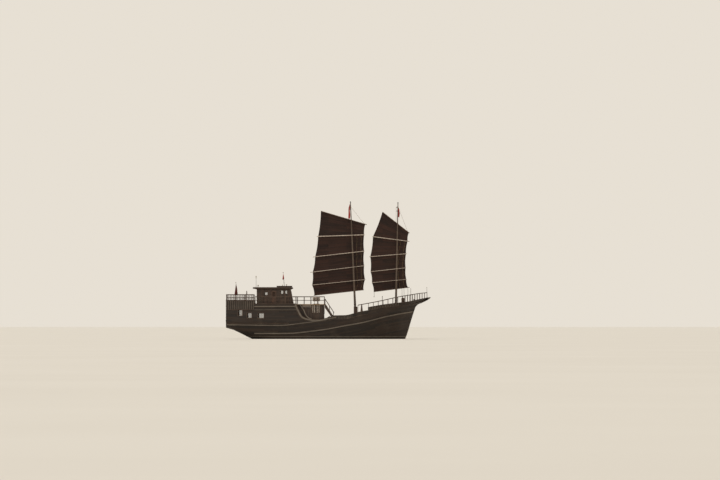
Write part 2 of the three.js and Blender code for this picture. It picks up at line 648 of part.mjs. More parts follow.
function houseSide() {
  const { aft, half, wall } = HOUSE;
  const { aft: doorAft, width, high, sill, thick, set, light, stile } = HOUSE_DOOR;
  const inner = (z) => houseForeX(z) - wall - GAP;
  const outline = [
    [aft, houseLow], [inner(houseLow), houseLow], [inner(houseHigh), houseHigh], [aft, houseHigh],
  ];
  const doorFore = doorAft + width + 2 * LEAF_GAP;
  const [low, head] = [houseLow + sill, houseLow + sill + high];
  const [out, inside] = [-half - PAST, -half + wall + PAST];
  const holes = [...holesAlong(HOUSE_WINDOWS, out, inside), block(doorAft, doorFore, out, inside, low, head)];
  const axisY = -half - KNUCKLE.off;
  const fixedArm = (a, b) => block(doorAft - 40, doorAft, axisY, -half + 20, a, b);
  const leafArm = (a, b) => block(doorAft, doorAft + 60, axisY, -half + 20, a, b);
  const { fixed, moving } = knuckles(doorAft, axisY, [low, head], fixedArm, leafArm);
  const doorway = block(doorAft, doorFore, -half - 0.1, 0, low, head);
  const y = -half + set;
  const leaf = block(doorAft + LEAF_GAP, doorFore - LEAF_GAP, y, y + thick, low + LEAF_GAP, head - LEAF_GAP);
  const pane = block(doorAft + stile, doorFore - stile, out, inside, light[0], light[1]);
  return {
    walls: plate(outline, -half, -half + wall).subtract(union(holes)).add(fixed.subtract(doorway)),
    leaf: leaf.subtract(pane).add(moving),
  };
}
const house = houseSide();
putPair("wheelhouse_side", house.walls, COLOURS.house);
putPair("wheelhouse_door", house.leaf, COLOURS.house);

function houseFront() {
  const { half, wall, floorFore, roofFore } = HOUSE;
  const ring = (z) => {
    const x = houseForeX(z);
    return [[x - wall, -half, z], [x, -half, z], [x, half, z], [x - wall, half, z]];
  };
  const holes = holesAcross(HOUSE_FRONT_WINDOWS, roofFore - wall - PAST, floorFore + PAST);
  return loft([ring(houseLow), ring(houseHigh)]).subtract(union(holes));
}
put("wheelhouse_front", houseFront(), COLOURS.house);

function houseBack() {
  const { aft, half, wall } = HOUSE;
  const inner = half - wall - GAP;
  const panel = block(aft, aft + wall, -inner, inner, houseLow, houseHigh);
  return panel.subtract(union(holesAcross(HOUSE_BACK_WINDOWS, aft - PAST, aft + wall + PAST)));
}
put("wheelhouse_back", houseBack(), COLOURS.house);

// Cambered roof that thins out to its eaves, with the raised fore part and two poles
function houseRoof() {
  const { aft, aftFull, foreFull, fore, half, crown, camber, edge, ys } = ROOF;
  const top = (y) => crown - camber * (y / half) ** 2;
  const section = (x, thin) => {
    const under = (y) => (thin || Math.abs(y) === half ? top(y) - edge : HOUSE.top);
    return [...ys.map((y) => [x, y, top(y)]), ...[...ys].reverse().map((y) => [x, y, under(y)])];
  };
  const ends = [[aft, true], [aftFull, false], [foreFull, false], [fore, true]];
  const { aft: stepAft, fore: stepFore, half: wide, low: stepLow, top: stepTop } = ROOF_STEP;
  const step = block(stepAft, stepFore, -wide, wide, stepLow, stepTop);
  const poles = ROOF_POLES.map(({ foot, head, low, high }) => rod(foot, head, low, high, 8));
  return union([loft(ends.map(([x, thin]) => section(x, thin))), step, ...poles]);
}
put("wheelhouse_roof", houseRoof(), COLOURS.roof);

function helm() {
  const { x, z, rim, reach, spokes } = HELM;
  const spoke = (_, i) => {
    const a = (i * 2 * Math.PI) / spokes;
    return rod([x, 0, z], [x, reach * Math.cos(a), z + reach * Math.sin(a)], 16, 14, 4);
  };
  const stand = block(x + 60, x + 330, -130, 130, houseLow, z + 60);
  const hub = rod([x - 40, 0, z], [x + 100, 0, z], 60);
  const wheel = ringOn([x, 0, z], [1, 0, 0], rim - 45, rim, 45);
  return union([wheel, ...Array.from({ length: spokes }, spoke), hub, stand]);
}
put("helm", helm(), COLOURS.rail);

// Rails: a top bar and a middle bar on posts, along a path of [x, y, foot z, top z]
function railing(path, postGap, { wide = 55, middle = true, sink = -GAP } = {}) {
  const parts = [bar(path.map(([x, y, , top]) => [x, y, top - 35]), wide + 25, 70)];
  if (middle) parts.push(bar(path.map(([x, y, foot, top]) => [x, y, (foot + top) / 2]), wide - 15, 40));
  const r = wide / 2;
  const post = ([x, y, foot, top]) => block(x - r, x + r, y - r, y + r, foot - sink, top - 20);
  for (let i = 0; i < path.length - 1; i += 1) {
    const [a, b] = [path[i], path[i + 1]];
    const n = Math.max(1, Math.round(Math.hypot(b[0] - a[0], b[1] - a[1]) / postGap));
    for (let k = 0; k < n; k += 1) parts.push(post(a.map((v, j) => v + ((b[j] - v) * k) / n)));
  }
  return union([...parts, post(path[path.length - 1])]);
}
const onWall = (x, foot, top) => [x, wallDepth(stationAt(x, foot), foot) / 2 - sideAt(x, foot), foot, top];
const otherSide = (path) => [...path].reverse().map(([x, y, foot, top]) => [x, -y, foot, top]);

function poopRail() {
  const along = range(QUARTER_END + 60, -4150, 1700).map((x) => onWall(x, AFT_SIDE_TOP, POOP_RAIL_TOP));
  const y = PAST - POOP.half;
  const ahead = [-3950, POOP.fore - 45].map((x) => [x, y, POOP.top, POOP_RAIL_TOP]);
  return railing([...along, ...ahead], 900);
}
putPair("poop_rail", poopRail(), COLOURS.rail);

function frontRail() {
  return railing([-1290, 1290].map((y) => [POOP.fore - 45, y, POOP.top, POOP_RAIL_TOP]), 860);
}
put("poop_front_rail", frontRail(), COLOURS.rail);

function sternRail() {
  const side = range(QUARTER_END - 60, STERN_X + 55, 1200).map((x) => onWall(x, QUARTER_TOP, STERN_RAIL_TOP));
  const { foot, head, headY, low, high } = STERN_STAFF;
  const footY = onWall(foot[0], QUARTER_TOP, STERN_RAIL_TOP)[1];
  const staff = rod([foot[0], footY, foot[1]], [head[0], headY, head[1]], low, high, 8);
  return railing([...side, ...otherSide(side)], 880).add(staff);
}
put("stern_rail", sternRail(), COLOURS.rail);

// Fore rail on the bulwark tops, with a stout tapered post on each side of the waist
function foreRail() {
  const foot = (x) => smooth(x < SHEER_BREAK ? BULWARK_TOP : FORE_BULWARK_TOP, x);
  const at = (x) => onWall(x, foot(x), smooth(FORE_RAIL_TOP, x));
  const sink = 40;
  const ends = [FORE_RAIL_TOP[0][0], FORE_RAIL_TOP[FORE_RAIL_TOP.length - 1][0]];
  const side = [ends[0], STOUT_POST.x, ...range(SHEER_BREAK + 60, ends[1], 640)].map(at);
  const rail = railing([...side, ...otherSide(side)], 700, { wide: 50, middle: false, sink });
  const [x, y, low, high] = at(STOUT_POST.x);
  const ring = (half, z) => [[x - half, -STOUT_POST.half], [x + half, -STOUT_POST.half],
    [x + half, STOUT_POST.half], [x - half, STOUT_POST.half]].map(([a, b]) => [a, y + b, z]);
  const stout = loft([ring(STOUT_POST.low, low - sink), ring(STOUT_POST.high, high - sink)]);
  const staff = rod([JACK_STAFF.foot[0], 0, JACK_STAFF.foot[1]], [JACK_STAFF.head[0], 0, JACK_STAFF.head[1]],
    JACK_STAFF.low, JACK_STAFF.high, 8);
  const around = [[1, 0, 0], [-1, 0, 0], [0, 1, 0], [0, -1, 0], [0, 0, 1]];
  return cleared(union([rail, stout, mirrored(stout), staff]), ["bulwark_starboard", "bulwark_port"], around);
}
put("fore_rail", foreRail(), COLOURS.rail);

// Life-raft canister with its end caps, on a cradle of two saddles and two runners
function canister() {
  const { aft, fore, y, z, radius, saddles, wide } = CANISTER;
  const round = (a, b, low, high = low) => rod([a, y, z], [b, y, z], low, high, 16);
  const mid = (aft + fore) / 2;
  const caps = [[aft, aft + 61], [fore, fore - 61]].map(([a, b]) => round(a, b, radius - 70, radius));
  const shell = union([round(aft + 60, fore - 60, radius), round(mid - 35, mid + 35, radius + 14), ...caps]);
  const low = POOP.top + GAP;
  const spread = radius * 0.8;
  const high = z - radius * 0.5;
  const stands = saddles.map((x) => block(x - wide / 2, x + wide / 2, y - spread, y + spread, low, high));
  const runners = [y - spread, y + spread - wide].map((a) => (
    block(aft + 80, fore - 80, a, a + wide, low, low + wide)));
  return union([shell, ...stands, ...runners]);
}
put("raft_canister", canister(), COLOURS.canister);

// Masts in their tabernacles
function mastX(mast, z) {
  const { foot, head } = MASTS[mast];
  return straight([[foot[1], foot[0]], [head[1], head[0]]], z);
}
function mastRadius(mast, z) {
  const { foot, head, low, high } = MASTS[mast];
  return straight([[foot[1], low], [head[1], high]], z);
}

for (const name of ["main", "fore"]) {
  const { foot: [x, z], head, low, high } = MASTS[name];
  const { carrier, top } = TABERNACLES[name];
  const { long, off, cheek, sole, foot } = TABERNACLE;
  const side = block(x - long, x + long, low + off, low + off + cheek, z - sole, top);
  const floor = block(x - foot, x + foot, -low - off - cheek, low + off + cheek, z - 2 * sole, z - GAP);
  const frame = union([side, mirrored(side), floor]).subtract(solids[carrier].translate([0, 0, GAP]));
  const under = z - PAST;
  const mast = rod([mastX(name, under), 0, under], [head[0], 0, head[1]], mastRadius(name, under), high, 16);
  put(name + "_tabernacle", frame, COLOURS.rail);
  put(name + "_mast", mast.subtract(block(x - foot, x + foot, -foot, foot, z - 4 * PAST, z)), COLOURS.mast);
}

// Sails: spars on the starboard face of the cloth, held to the mast by parrels
function sparZ([, ax, az, fx, fz], x) {
  return straight([[ax, az], [fx, fz]], x);
}
for (const name of ["main", "fore"]) {
  const rows = SAILS[name];
  const { foot, head } = MASTS[name];
  const axis = new THREE.Vector3(head[0] - foot[0], 0, head[1] - foot[1]).normalize().toArray();
  for (const row of rows) {
    const [part, ax, az, fx, fz, radius] = row;
    const y = CLOTH_Y - GAP - radius;
    const spar = rod([ax, y, az], [fx, y, fz], radius, radius * 0.9, 8);
    let z = (az + fz) / 2;
    for (let i = 0; i < 20; i += 1) z = sparZ(row, mastX(name, z));
    const x = mastX(name, z);
    const r = mastRadius(name, z - PARREL.below) + PIN_GAP;
    const ring = ringOn([x, 0, z], axis, r / Math.cos(Math.PI / 12), r + PARREL.thick, PARREL.high);
    const lug = block(x - PARREL.lug, x + PARREL.lug, r + 8, y, z - PARREL.lugHigh, z + PARREL.lugHigh);
    put(name + "_" + part, union([spar, ring, lug]), COLOURS.batten);
  }
  const leech = rows.map((r) => [r[6], sparZ(r, r[6])]);
  const luff = rows.map((r) => [r[7], sparZ(r, r[7])]);
  put(name + "_cloth", plate([...leech, ...luff.reverse()], CLOTH_Y, CLOTH_Y + CLOTH_THICK), COLOURS.cloth);
}

// Hatch lid, hinged on its aft edge
function hatchLid() {
  const { aft, fore, half, top, lid } = HATCH;
  const cover = block(aft - 20, fore + 25, -half - 25, half + 25, top + GAP, top + lid);
  const battens = [-350, 0, 350].map((y) => block(aft, fore, y - 40, y + 40, top + lid - 5, top + lid + 25));
  return union([cover, ...battens]);
}
put("hatch_lid", hatchLid(), COLOURS.rail);

// Windlass: the frame, and the drum with its whelps and handspikes
function windlass() {
  const { x, z, half, radius, axle, foot, cheek, long, head, baseHigh } = WINDLASS;
  const { whelps, bars, barAt, reach, shaftEnd } = WINDLASS;
  const side = block(x - long, x + long, -half - cheek, -half, foot, z + head);
  const end = half + cheek;
  const base = block(x - long - 40, x + long + 40, -end, end, foot, foreDeckTop(x + long + 40) + baseHigh);
  const bore = rod([x, -end - 20, z], [x, end + 20, z], axle + PIN_GAP, undefined, 24);
  const cut = union([bore, solids.fore_deck.translate([0, 0, GAP])]);
  const frame = union([side, mirrored(side), base]).subtract(cut);
  const drum = rod([x, -half + LEAF_GAP, z], [x, half - LEAF_GAP, z], radius, undefined, 12);
  const shaft = rod([x, -half - shaftEnd, z], [x, half + shaftEnd, z], axle - GAP, undefined, 24);
  const around = (n, i, r, y) => {
    const a = (i * 2 * Math.PI) / n;
    return [x + r * Math.cos(a), y, z + r * Math.sin(a)];
  };
  const ribs = Array.from({ length: whelps }, (_, i) => {
    const [a, b] = [-half + 60, half - 60].map((y) => around(whelps, i, radius + 4, y));
    return rod(a, b, 24, 24, 6);
  });
  const spikes = [-half - barAt, half + barAt].flatMap((y) => Array.from({ length: bars }, (_, i) => (
    rod([x, y, z], around(bars, i + 0.5, reach, y), 22, 18, 8))));
  return { frame, drum: union([drum, shaft, ...ribs, ...spikes]) };
}
const gear = windlass();
put("windlass_frame", gear.frame, COLOURS.rail);
put("windlass_drum", gear.drum, COLOURS.mast);

// Propeller
function propeller() {
  const { x, z, radius, hub, blades, pitch: lead } = PROPELLER;
  const front = POST_AFT - 150 - GAP;
  const centre = rod([front, 0, z], [x - 130, 0, z], hub, hub * 0.6, 16);
  const blade = (turn) => loft(range(hub * 0.5, radius, 120).map((r) => {
    const pitch = Math.atan2(lead, 2 * Math.PI * r);
    const chord = 175 * Math.sin(Math.PI * Math.min(0.93, 0.3 + (0.7 * r) / radius)) + 60;
    const at = (c, t) => {
      const along = c * Math.sin(pitch) + t * Math.cos(pitch);
      const round = c * Math.cos(pitch) - t * Math.sin(pitch);
      const a = turn + round / Math.max(r, 150);
      return [x + along, r * Math.sin(a), z + r * Math.cos(a)];
    };
    return [at(-chord, 0), at(0, 14), at(chord, 0), at(0, -14)];
  }));
  const whole = union([centre, ...Array.from({ length: blades }, (_, i) => blade((i * 2 * Math.PI) / blades))]);
  return whole.subtract(block(front, front + 500, -radius, radius, z - radius, z + radius));
}
put("propeller", propeller(), COLOURS.bronze);

// Rudder blade and stock, stepped in the heel shoe
function rudder() {
  const { stock, stockRadius, stockTop, aft, fore, low, high, thick } = RUDDER;
  const outline = [
    [fore, low], [aft + 120, low], [aft, low + 260], [aft, high - 500], [aft + 160, high - 60],
    [fore, high - 220],
  ];
  const blade = plate(outline, -thick / 2, thick / 2);
  return blade.add(rod([stock, 0, SHOE_TOP + GAP], [stock, 0, stockTop], stockRadius, undefined, 16));
}
put("rudder", rudder(), COLOURS.bottom);

export default group;
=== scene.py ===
"""Looks for a two-masted junk afloat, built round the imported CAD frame.

Metres: X runs forward, Y to port and Z up, with the origin on the waterline at mid-length.
"""

from collections import namedtuple
from math import atan, ceil, cos, hypot, pi, radians, sin

import bmesh
import bpy
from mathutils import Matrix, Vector
from mathutils.bvhtree import BVHTree


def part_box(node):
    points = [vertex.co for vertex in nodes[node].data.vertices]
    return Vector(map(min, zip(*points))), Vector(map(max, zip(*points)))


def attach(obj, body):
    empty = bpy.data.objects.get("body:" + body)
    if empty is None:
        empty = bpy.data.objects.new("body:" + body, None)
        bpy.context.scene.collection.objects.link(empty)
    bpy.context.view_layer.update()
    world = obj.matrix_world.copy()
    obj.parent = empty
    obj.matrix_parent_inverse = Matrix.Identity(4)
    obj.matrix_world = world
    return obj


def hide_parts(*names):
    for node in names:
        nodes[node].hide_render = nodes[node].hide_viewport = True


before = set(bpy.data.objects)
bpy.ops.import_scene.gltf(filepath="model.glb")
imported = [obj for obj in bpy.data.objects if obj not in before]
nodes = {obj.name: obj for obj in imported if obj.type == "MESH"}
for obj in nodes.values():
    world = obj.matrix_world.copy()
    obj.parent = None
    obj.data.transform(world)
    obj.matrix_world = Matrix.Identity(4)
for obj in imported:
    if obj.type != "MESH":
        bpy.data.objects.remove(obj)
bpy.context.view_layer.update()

X, Y, Z = Vector((1, 0, 0)), Vector((0, 1, 0)), Vector((0, 0, 1))


def linked(name, data):
    """Adds an object to the scene."""
    made = bpy.data.objects.new(name, data)
    bpy.context.scene.collection.objects.link(made)
    return made


def mesh_of(name, bm):
    """Mesh of the shapes in bm, which is freed."""
    mesh = bpy.data.meshes.new(name)
    bm.to_mesh(mesh)
    bm.free()
    return mesh


# Camera: broadside on the starboard side, far off with a long lens and low over the water

LENS, SENSOR = 200, 36
CAMERA_AT = (4.02, -510, 1.64)
CAMERA_RISE = atan(86 / 4000)
CLIP_END = 12000


def camera():
    data = bpy.data.cameras.new("camera")
    data.lens, data.sensor_width = LENS, SENSOR
    data.clip_end = CLIP_END
    cam = linked("camera", data)
    cam.location = CAMERA_AT
    cam.rotation_euler = (pi / 2 + CAMERA_RISE, 0, 0)
    bpy.context.scene.camera = cam


camera()


# Materials

class Look:
    """A procedural material, with short names for the nodes that it is made of."""

    def __init__(self, name, **fixed):
        self.mat = bpy.data.materials.new(name)
        self.mat.use_nodes = True
        self.tree = self.mat.node_tree
        self.bsdf = self.tree.nodes["Principled BSDF"]
        for key, value in fixed.items():
            self.bsdf.inputs[key.replace("_", " ")].default_value = value
        self.where = self.node("TexCoord").outputs["Object"]

    def feed(self, socket, value):
        if isinstance(value, bpy.types.NodeSocket):
            self.tree.links.new(value, socket)
        else:
            socket.default_value = value

    def node(self, kind, inputs=None, **props):
        made = self.tree.nodes.new("ShaderNode" + kind)
        for key, value in props.items():
            setattr(made, key, value)
        for key, value in (inputs or {}).items():
            self.feed(made.inputs[key], value)
        return made

    def math(self, operation, a, b=0.0, c=0.0):
        return self.node("Math", {0: a, 1: b, 2: c}, operation=operation).outputs[0]

    def times(self, a, b):
        return self.math("MULTIPLY", a, b)

    def plus(self, a, b):
        return self.math("ADD", a, b)

    def times_plus(self, a, b, c):
        return self.math("MULTIPLY_ADD", a, b, c)

    def fold(self, value):
        """Distance from the nearest whole number."""
        return self.math("PINGPONG", value, 0.5)

    def split(self):
        made = self.node("SeparateXYZ", {0: self.where})
        return made.outputs[0], made.outputs[1], made.outputs[2]

    def join(self, x, y, z=0.0):
        return self.node("CombineXYZ", {0: x, 1: y, 2: z}).outputs[0]

    def stretched(self, sx, sy, sz):
        x, y, z = self.split()
        return self.join(self.times(x, sx), self.times(y, sy), self.times(z, sz))

    def noise(self, vector, scale, detail, rough=0.6):
        inputs = {"Vector": vector, "Scale": scale, "Detail": detail, "Roughness": rough}
        return self.node("TexNoise", inputs).outputs[0]

    def random(self, vector):
        return self.node("TexWhiteNoise", {"Vector": vector}).outputs["Value"]

    def ease(self, value, low, high, a=0.0, b=1.0):
        inputs = {"Value": value, "From Min": low, "From Max": high, "To Min": a, "To Max": b}
        return self.node("MapRange", inputs, interpolation_type="SMOOTHSTEP").outputs[0]

    def even(self, value, low, high):
        return self.node("MapRange", {"Value": value, "From Min": low, "From Max": high}).outputs[0]

    def mix(self, share, a, b):
        """Mixes two colours, each a socket or hex text."""
        made = self.node("Mix", data_type="RGBA")
        self.feed(made.inputs[0], share)
        for socket, colour in ((made.inputs[6], a), (made.inputs[7], b)):
            self.feed(socket, (*srgb(colour), 1) if isinstance(colour, str) else colour)
        return made.outputs[2]

    def bump(self, height, strength, distance):
        return self.node("Bump", {"Height": height, "Strength": strength, "Distance": distance}).outputs[0]

    def done(self, colour, rough, normal=None):
        self.feed(self.bsdf.inputs["Base Color"], colour)
        self.feed(self.bsdf.inputs["Roughness"], rough)
        if normal is not None:
            self.feed(self.bsdf.inputs["Normal"], normal)
        return self.mat


def srgb(text):
    """Linear colour of a hex colour."""
    parts = [int(text[i:i + 2], 16) / 255 for i in (0, 2, 4)]
    return tuple(c / 12.92 if c <= 0.04045 else ((c + 0.055) / 1.055) ** 2.4 for c in parts)


# The strakes of the hull run along the lower wale: its height, in metres, along the length
STRAKE_X = (-13.0, 13.0)
STRAKE_Z = 4.0
STRAKE_LINE = [(-13, 0.95), (-9.4, 0.72), (-5.4, 0.69), (-2.1, 0.98), (0, 1.26), (2.0, 1.66), (4.1, 2.03),
               (5.4, 2.33), (7.4, 2.85), (10, 3.33), (13, 3.8)]
SEAM_BLACK, WEED, BOOT_TOP = "0b0806", "2b271e", "6f675c"
BOTTOM_DARK, BOTTOM_LIGHT = "4a2019", "6a3527"


def strake_height(look, x, z):
    low, high = STRAKE_X
    curve = look.node("FloatCurve", {"Value": look.even(x, low, high)})
    points = curve.mapping.curves[0].points
    spots = [((a - low) / (high - low), b / STRAKE_Z) for a, b in STRAKE_LINE]
    for i, spot in enumerate(spots):
        if 0 < i < len(spots) - 1:
            points.new(*spot)
    points[0].location, points[-1].location = spots[0], spots[-1]
    curve.mapping.update()
    return look.math("SUBTRACT", z, look.times(curve.outputs[0], STRAKE_Z))


# Scale of the noise along and across the grain, for its fine lines and for soft clouds
GRAIN_SCALES = ((1.1, 26), (0.25, 3))


def timber(name, dark, light, grain="X", plank=None, across="Y", long=3.2, seam=0.008, rough=(0.55, 0.85),
           faded=None, water=False, **fixed):
    """Timber with grain along an axis, in planks where plank gives their width."""
    look = Look(name, **fixed)
    x, y, z = look.split()
    axes = {"X": x, "Y": y, "Z": z}
    along = axes[grain]
    fine, soft = [[lengthwise if axis == grain else crosswise for axis in "XYZ"]
                  for lengthwise, crosswise in GRAIN_SCALES]
    lines = look.noise(look.stretched(*fine), 1.0, 5)
    clouds = look.noise(look.stretched(*soft), 1.0, 3)
    tone, seams = 0.5, None
    if plank:
        if across == "strake":
            side = strake_height(look, x, z)
        elif across == "XY":
            side = look.plus(x, y)
        else:
            side = axes[across]
        scaled = look.math("DIVIDE", side, plank)
        row = look.math("FLOOR", scaled)
        edge = look.fold(scaled)
        shift = look.math("DIVIDE", look.plus(along, look.times(row, long * 0.382)), long)
        end = look.fold(shift)
        tone = look.random(look.join(row, look.math("FLOOR", shift)))
        gap = look.math("MINIMUM", look.times(edge, plank), look.times(end, long))
        seams = look.ease(gap, 0.2 * seam, seam, 1.0, 0.0)
    share = look.times_plus(tone, 0.5, look.times_plus(clouds, 0.6, -0.05))
    colour = look.mix(look.ease(look.times_plus(lines, 0.5, share), 0.35, 1.05), dark, light)
    roughness = look.ease(look.plus(lines, clouds), 0.6, 1.4, rough[0], rough[1])
    if faded:
        patch = look.noise(look.where, 0.9, 6, 0.65)
        colour = look.mix(look.ease(patch, 0.5, 0.72, 0.0, 0.55), colour, faded)
    if water:
        weed = look.noise(look.stretched(1, 1, 3), 2.2, 4)
        level = look.times_plus(weed, 0.16, z)
        colour = look.mix(look.ease(level, 0.12, 0.45, 0.45, 0.0), colour, WEED)
        line = look.math("ABSOLUTE", look.math("SUBTRACT", z, 0.3))
        chipped = look.ease(look.noise(look.where, 3.1, 5), 0.3, 0.42)
        boot = look.times(look.ease(line, 0.03, 0.045, 1.0, 0.0), chipped)
        colour = look.mix(boot, colour, BOOT_TOP)
        paint = look.mix(look.ease(weed, 0.35, 0.7), BOTTOM_DARK, BOTTOM_LIGHT)
        colour = look.mix(look.ease(level, 0.06, 0.1, 1.0, 0.0), colour, paint)
    height = look.times(lines, 0.12)
    if seams is not None:
        colour = look.mix(look.times(seams, 0.85), colour, SEAM_BLACK)
        height = look.math("SUBTRACT", height, seams)
    return look.done(colour, roughness, look.bump(height, 0.5, 0.012))


def sail_cloth(name, dark, light, faded):
    """Dyed canvas: UV.y counts the sewn widths of cloth and UV.x is metres along them."""
    look = Look(name, Specular_IOR_Level=0.15, Sheen_Weight=0.25, Sheen_Roughness=0.6)
    uv = look.node("SeparateXYZ", {0: look.node("TexCoord").outputs["UV"]})
    along, widths = uv.outputs[0], uv.outputs[1]
    row = look.math("FLOOR", widths)
    part = look.math("FRACT", widths)
    tone = look.random(look.join(row, look.math("FLOOR", look.math("DIVIDE", along, 2.3))))
    streaks = look.noise(look.join(look.times(along, 0.35), look.times(widths, 2.2)), 1.0, 5)
    blots = look.noise(look.where, 0.55, 6, 0.62)
    share = look.times_plus(tone, 0.35, look.times(streaks, 0.9))
    colour = look.mix(look.ease(share, 0.25, 0.85), dark, light)
    colour = look.mix(look.ease(blots, 0.5, 0.75, 0.0, 0.6), colour, faded)
    seam = look.ease(look.fold(widths), 0.03, 0.12, 1.0, 0.0)
    stitch = look.ease(look.fold(look.times(along, 12.0)), 0.15, 0.3)
    colour = look.mix(look.times(seam, 0.8), colour, dark)
    # Painted highlight: the lower part of each cloth width, where it bellies out, is mixed towards the light
    # colour and broken at the stitch lines
    wear_and_highlight = look.ease(part, 0.6, 0.94, 0.0, 0.6)
    colour = look.mix(look.times(wear_and_highlight, stitch), colour, light)
    weave = [look.node("TexWave", {"Vector": look.where, "Scale": 24.0, "Distortion": 0.6},
                       bands_direction=way).outputs["Fac"] for way in ("X", "Z")]
    cloth = look.times_plus(look.plus(*weave), 0.05, look.times(seam, 0.8))
    creases = look.noise(look.stretched(0.8, 1, 3.5), 1.6, 5, 0.7)
    normal = look.bump(look.plus(cloth, creases), 0.55, 0.03)
    return look.done(colour, look.ease(blots, 0.3, 0.7, 0.82, 0.95), normal)


def plain(name, dark, light, scale, rough, bump=0.15, **fixed):
    """Painted, cast or moulded surface with soft stains and fine roughness."""
    look = Look(name, **fixed)
    stain = look.noise(look.where, scale, 6, 0.62)
    grit = look.noise(look.where, scale * 9, 4)
    colour = look.mix(look.ease(stain, 0.3, 0.72), dark, light)
    return look.done(colour, look.ease(grit, 0.3, 0.7, *rough), look.bump(grit, bump, 0.006))


def rope_look(name, dark, light):
    """Laid rope, its strands as slanted bands, with painted shade in the grooves between them."""
    look = Look(name, Specular_IOR_Level=0.2)
    x, y, z = look.split()
    lay = look.plus(look.plus(x, y), look.times(z, 1.4))
    strand = look.fold(look.times(lay, 26.0))
    dirt = look.noise(look.where, 4.0, 5)
    # Painted shade: the colour darkens in the grooves between strands, where the bump dips, mixed with real dirt
    colour = look.mix(look.ease(look.times_plus(strand, 0.9, dirt), 0.4, 1.0), dark, light)
    return look.done(colour, look.ease(dirt, 0.3, 0.7, 0.8, 0.95), look.bump(strand, 0.5, 0.006))


def glass_look():
    look = Look("window_glass", Alpha=0.16, IOR=1.45, Specular_IOR_Level=0.5)
    grime = look.noise(look.where, 3.5, 5)
    colour = look.mix(look.ease(grime, 0.4, 0.7), "20282a", "4a4d46")
    return look.done(colour, look.ease(grime, 0.35, 0.7, 0.06, 0.3), look.bump(grime, 0.1, 0.002))


LOOKS = {
    "hull": timber("hull_planks", "1b130d", "35271d", plank=0.19, across="strake", long=4.6, seam=0.014,
                   faded="41362c", water=True),
    "stem": timber("stem_timber", "241a13", "463a2f", grain="Z", faded="574d43", water=True),
    "wale": timber("wale_timber", "4c443c", "7c7267", faded="8c8275", rough=(0.7, 0.9)),
    "wear_and_highlight": timber("worn_timber", "3f372f", "6f655a", grain="Z", faded="81776b", rough=(0.7, 0.9)),
    "bottom": plain("bottom_paint", "44201a", "6b3528", 2.5, (0.7, 0.9)),
    "deck": timber("deck_planks", "4b3a2b", "8a7359", plank=0.115, long=3.6, faded="8f8371",
                   rough=(0.65, 0.9)),
    "house": timber("house_boards", "261b14", "473428", grain="Z", plank=0.16, across="XY", long=2.6,
                    faded="5d4a3a", rough=(0.4, 0.7)),
    "door": timber("door_boards", "342218", "5e402e", grain="Z", plank=0.108, across="XY", long=2.4,
                   seam=0.005, rough=(0.35, 0.6)),
    "rail": timber("rail_timber", "2b1f17", "554135", faded="6d5a49", rough=(0.45, 0.75)),
    "post": timber("post_timber", "2b1f17", "554135", grain="Z", faded="6d5a49", rough=(0.45, 0.75)),
    "roof": plain("roof_paint", "2e211a", "4b382b", 1.6, (0.6, 0.85), 0.2),
    "mast": timber("mast_timber", "3a2d24", "67574a", grain="Z", faded="766a5f", rough=(0.5, 0.8)),
    "spar": timber("spar_timber", "3b2a20", "6d5644", faded="7a6857", rough=(0.5, 0.8)),
    "batten": timber("batten_timber", "9c8d81", "d6c8bb", faded="e4d9ce", rough=(0.5, 0.8)),
    "sail": sail_cloth("sail_canvas", "1a100c", "38221a", "31241c"),
    "flag": sail_cloth("flag_cloth", "6a100a", "ab2618", "8a2a1e"),
    "dark_flag": sail_cloth("dark_flag_cloth", "2c0f0b", "571d15", "431a14"),
    "rope": rope_look("laid_rope", "4a3b2a", "94805f"),
    "dark_rope": rope_look("tarred_rope", "1f1610", "4d3d2d"),
    "iron": plain("black_iron", "191614", "3a312b", 7.0, (0.45, 0.7), Metallic=0.7),
    "bronze": plain("aged_bronze", "4e3b1d", "9a7a3e", 5.0, (0.3, 0.55), Metallic=0.9),
    "shell": plain("worn_shell", "8a7d72", "c0b3a7", 3.0, (0.35, 0.55)),
    "lamp": plain("lamp_glass", "8b8474", "c6bda7", 5.0, (0.1, 0.25)),
    "glass": glass_look(),
}

NODE_LOOKS = {
    "hull": ["hull", "bulwark", "aft_side", "stern_wall", "bow_panel"],
    "stem": ["stem"],
    "wale": ["lower_wale", "upper_wale"],
    "bottom": ["keel", "rudder"],
    "deck": ["main_deck", "fore_deck", "poop_deck"],
    "house": ["cabin_side", "saloon_front", "wheelhouse_front", "wheelhouse_back", "wheelhouse_side"],
    "door": ["saloon_door", "wheelhouse_door", "hatch_lid"],
    "rail": ["stair", "poop_rail", "poop_front_rail", "stern_rail", "fore_rail", "windlass_frame", "helm"],
    "post": ["main_tabernacle", "fore_tabernacle"],
    "roof": ["wheelhouse_roof"],
    "mast": ["main_mast", "fore_mast", "windlass_drum"],
    "spar": ["main_yard", "fore_yard", "main_boom", "fore_boom"],
    "batten": ["main_batten", "fore_batten"],
    "sail": ["main_cloth", "fore_cloth"],
    "bronze": ["propeller"],
    "shell": ["raft_canister"],
}
SMOOTH_ANGLE, SHARP_ANGLE = radians(32), radians(35)


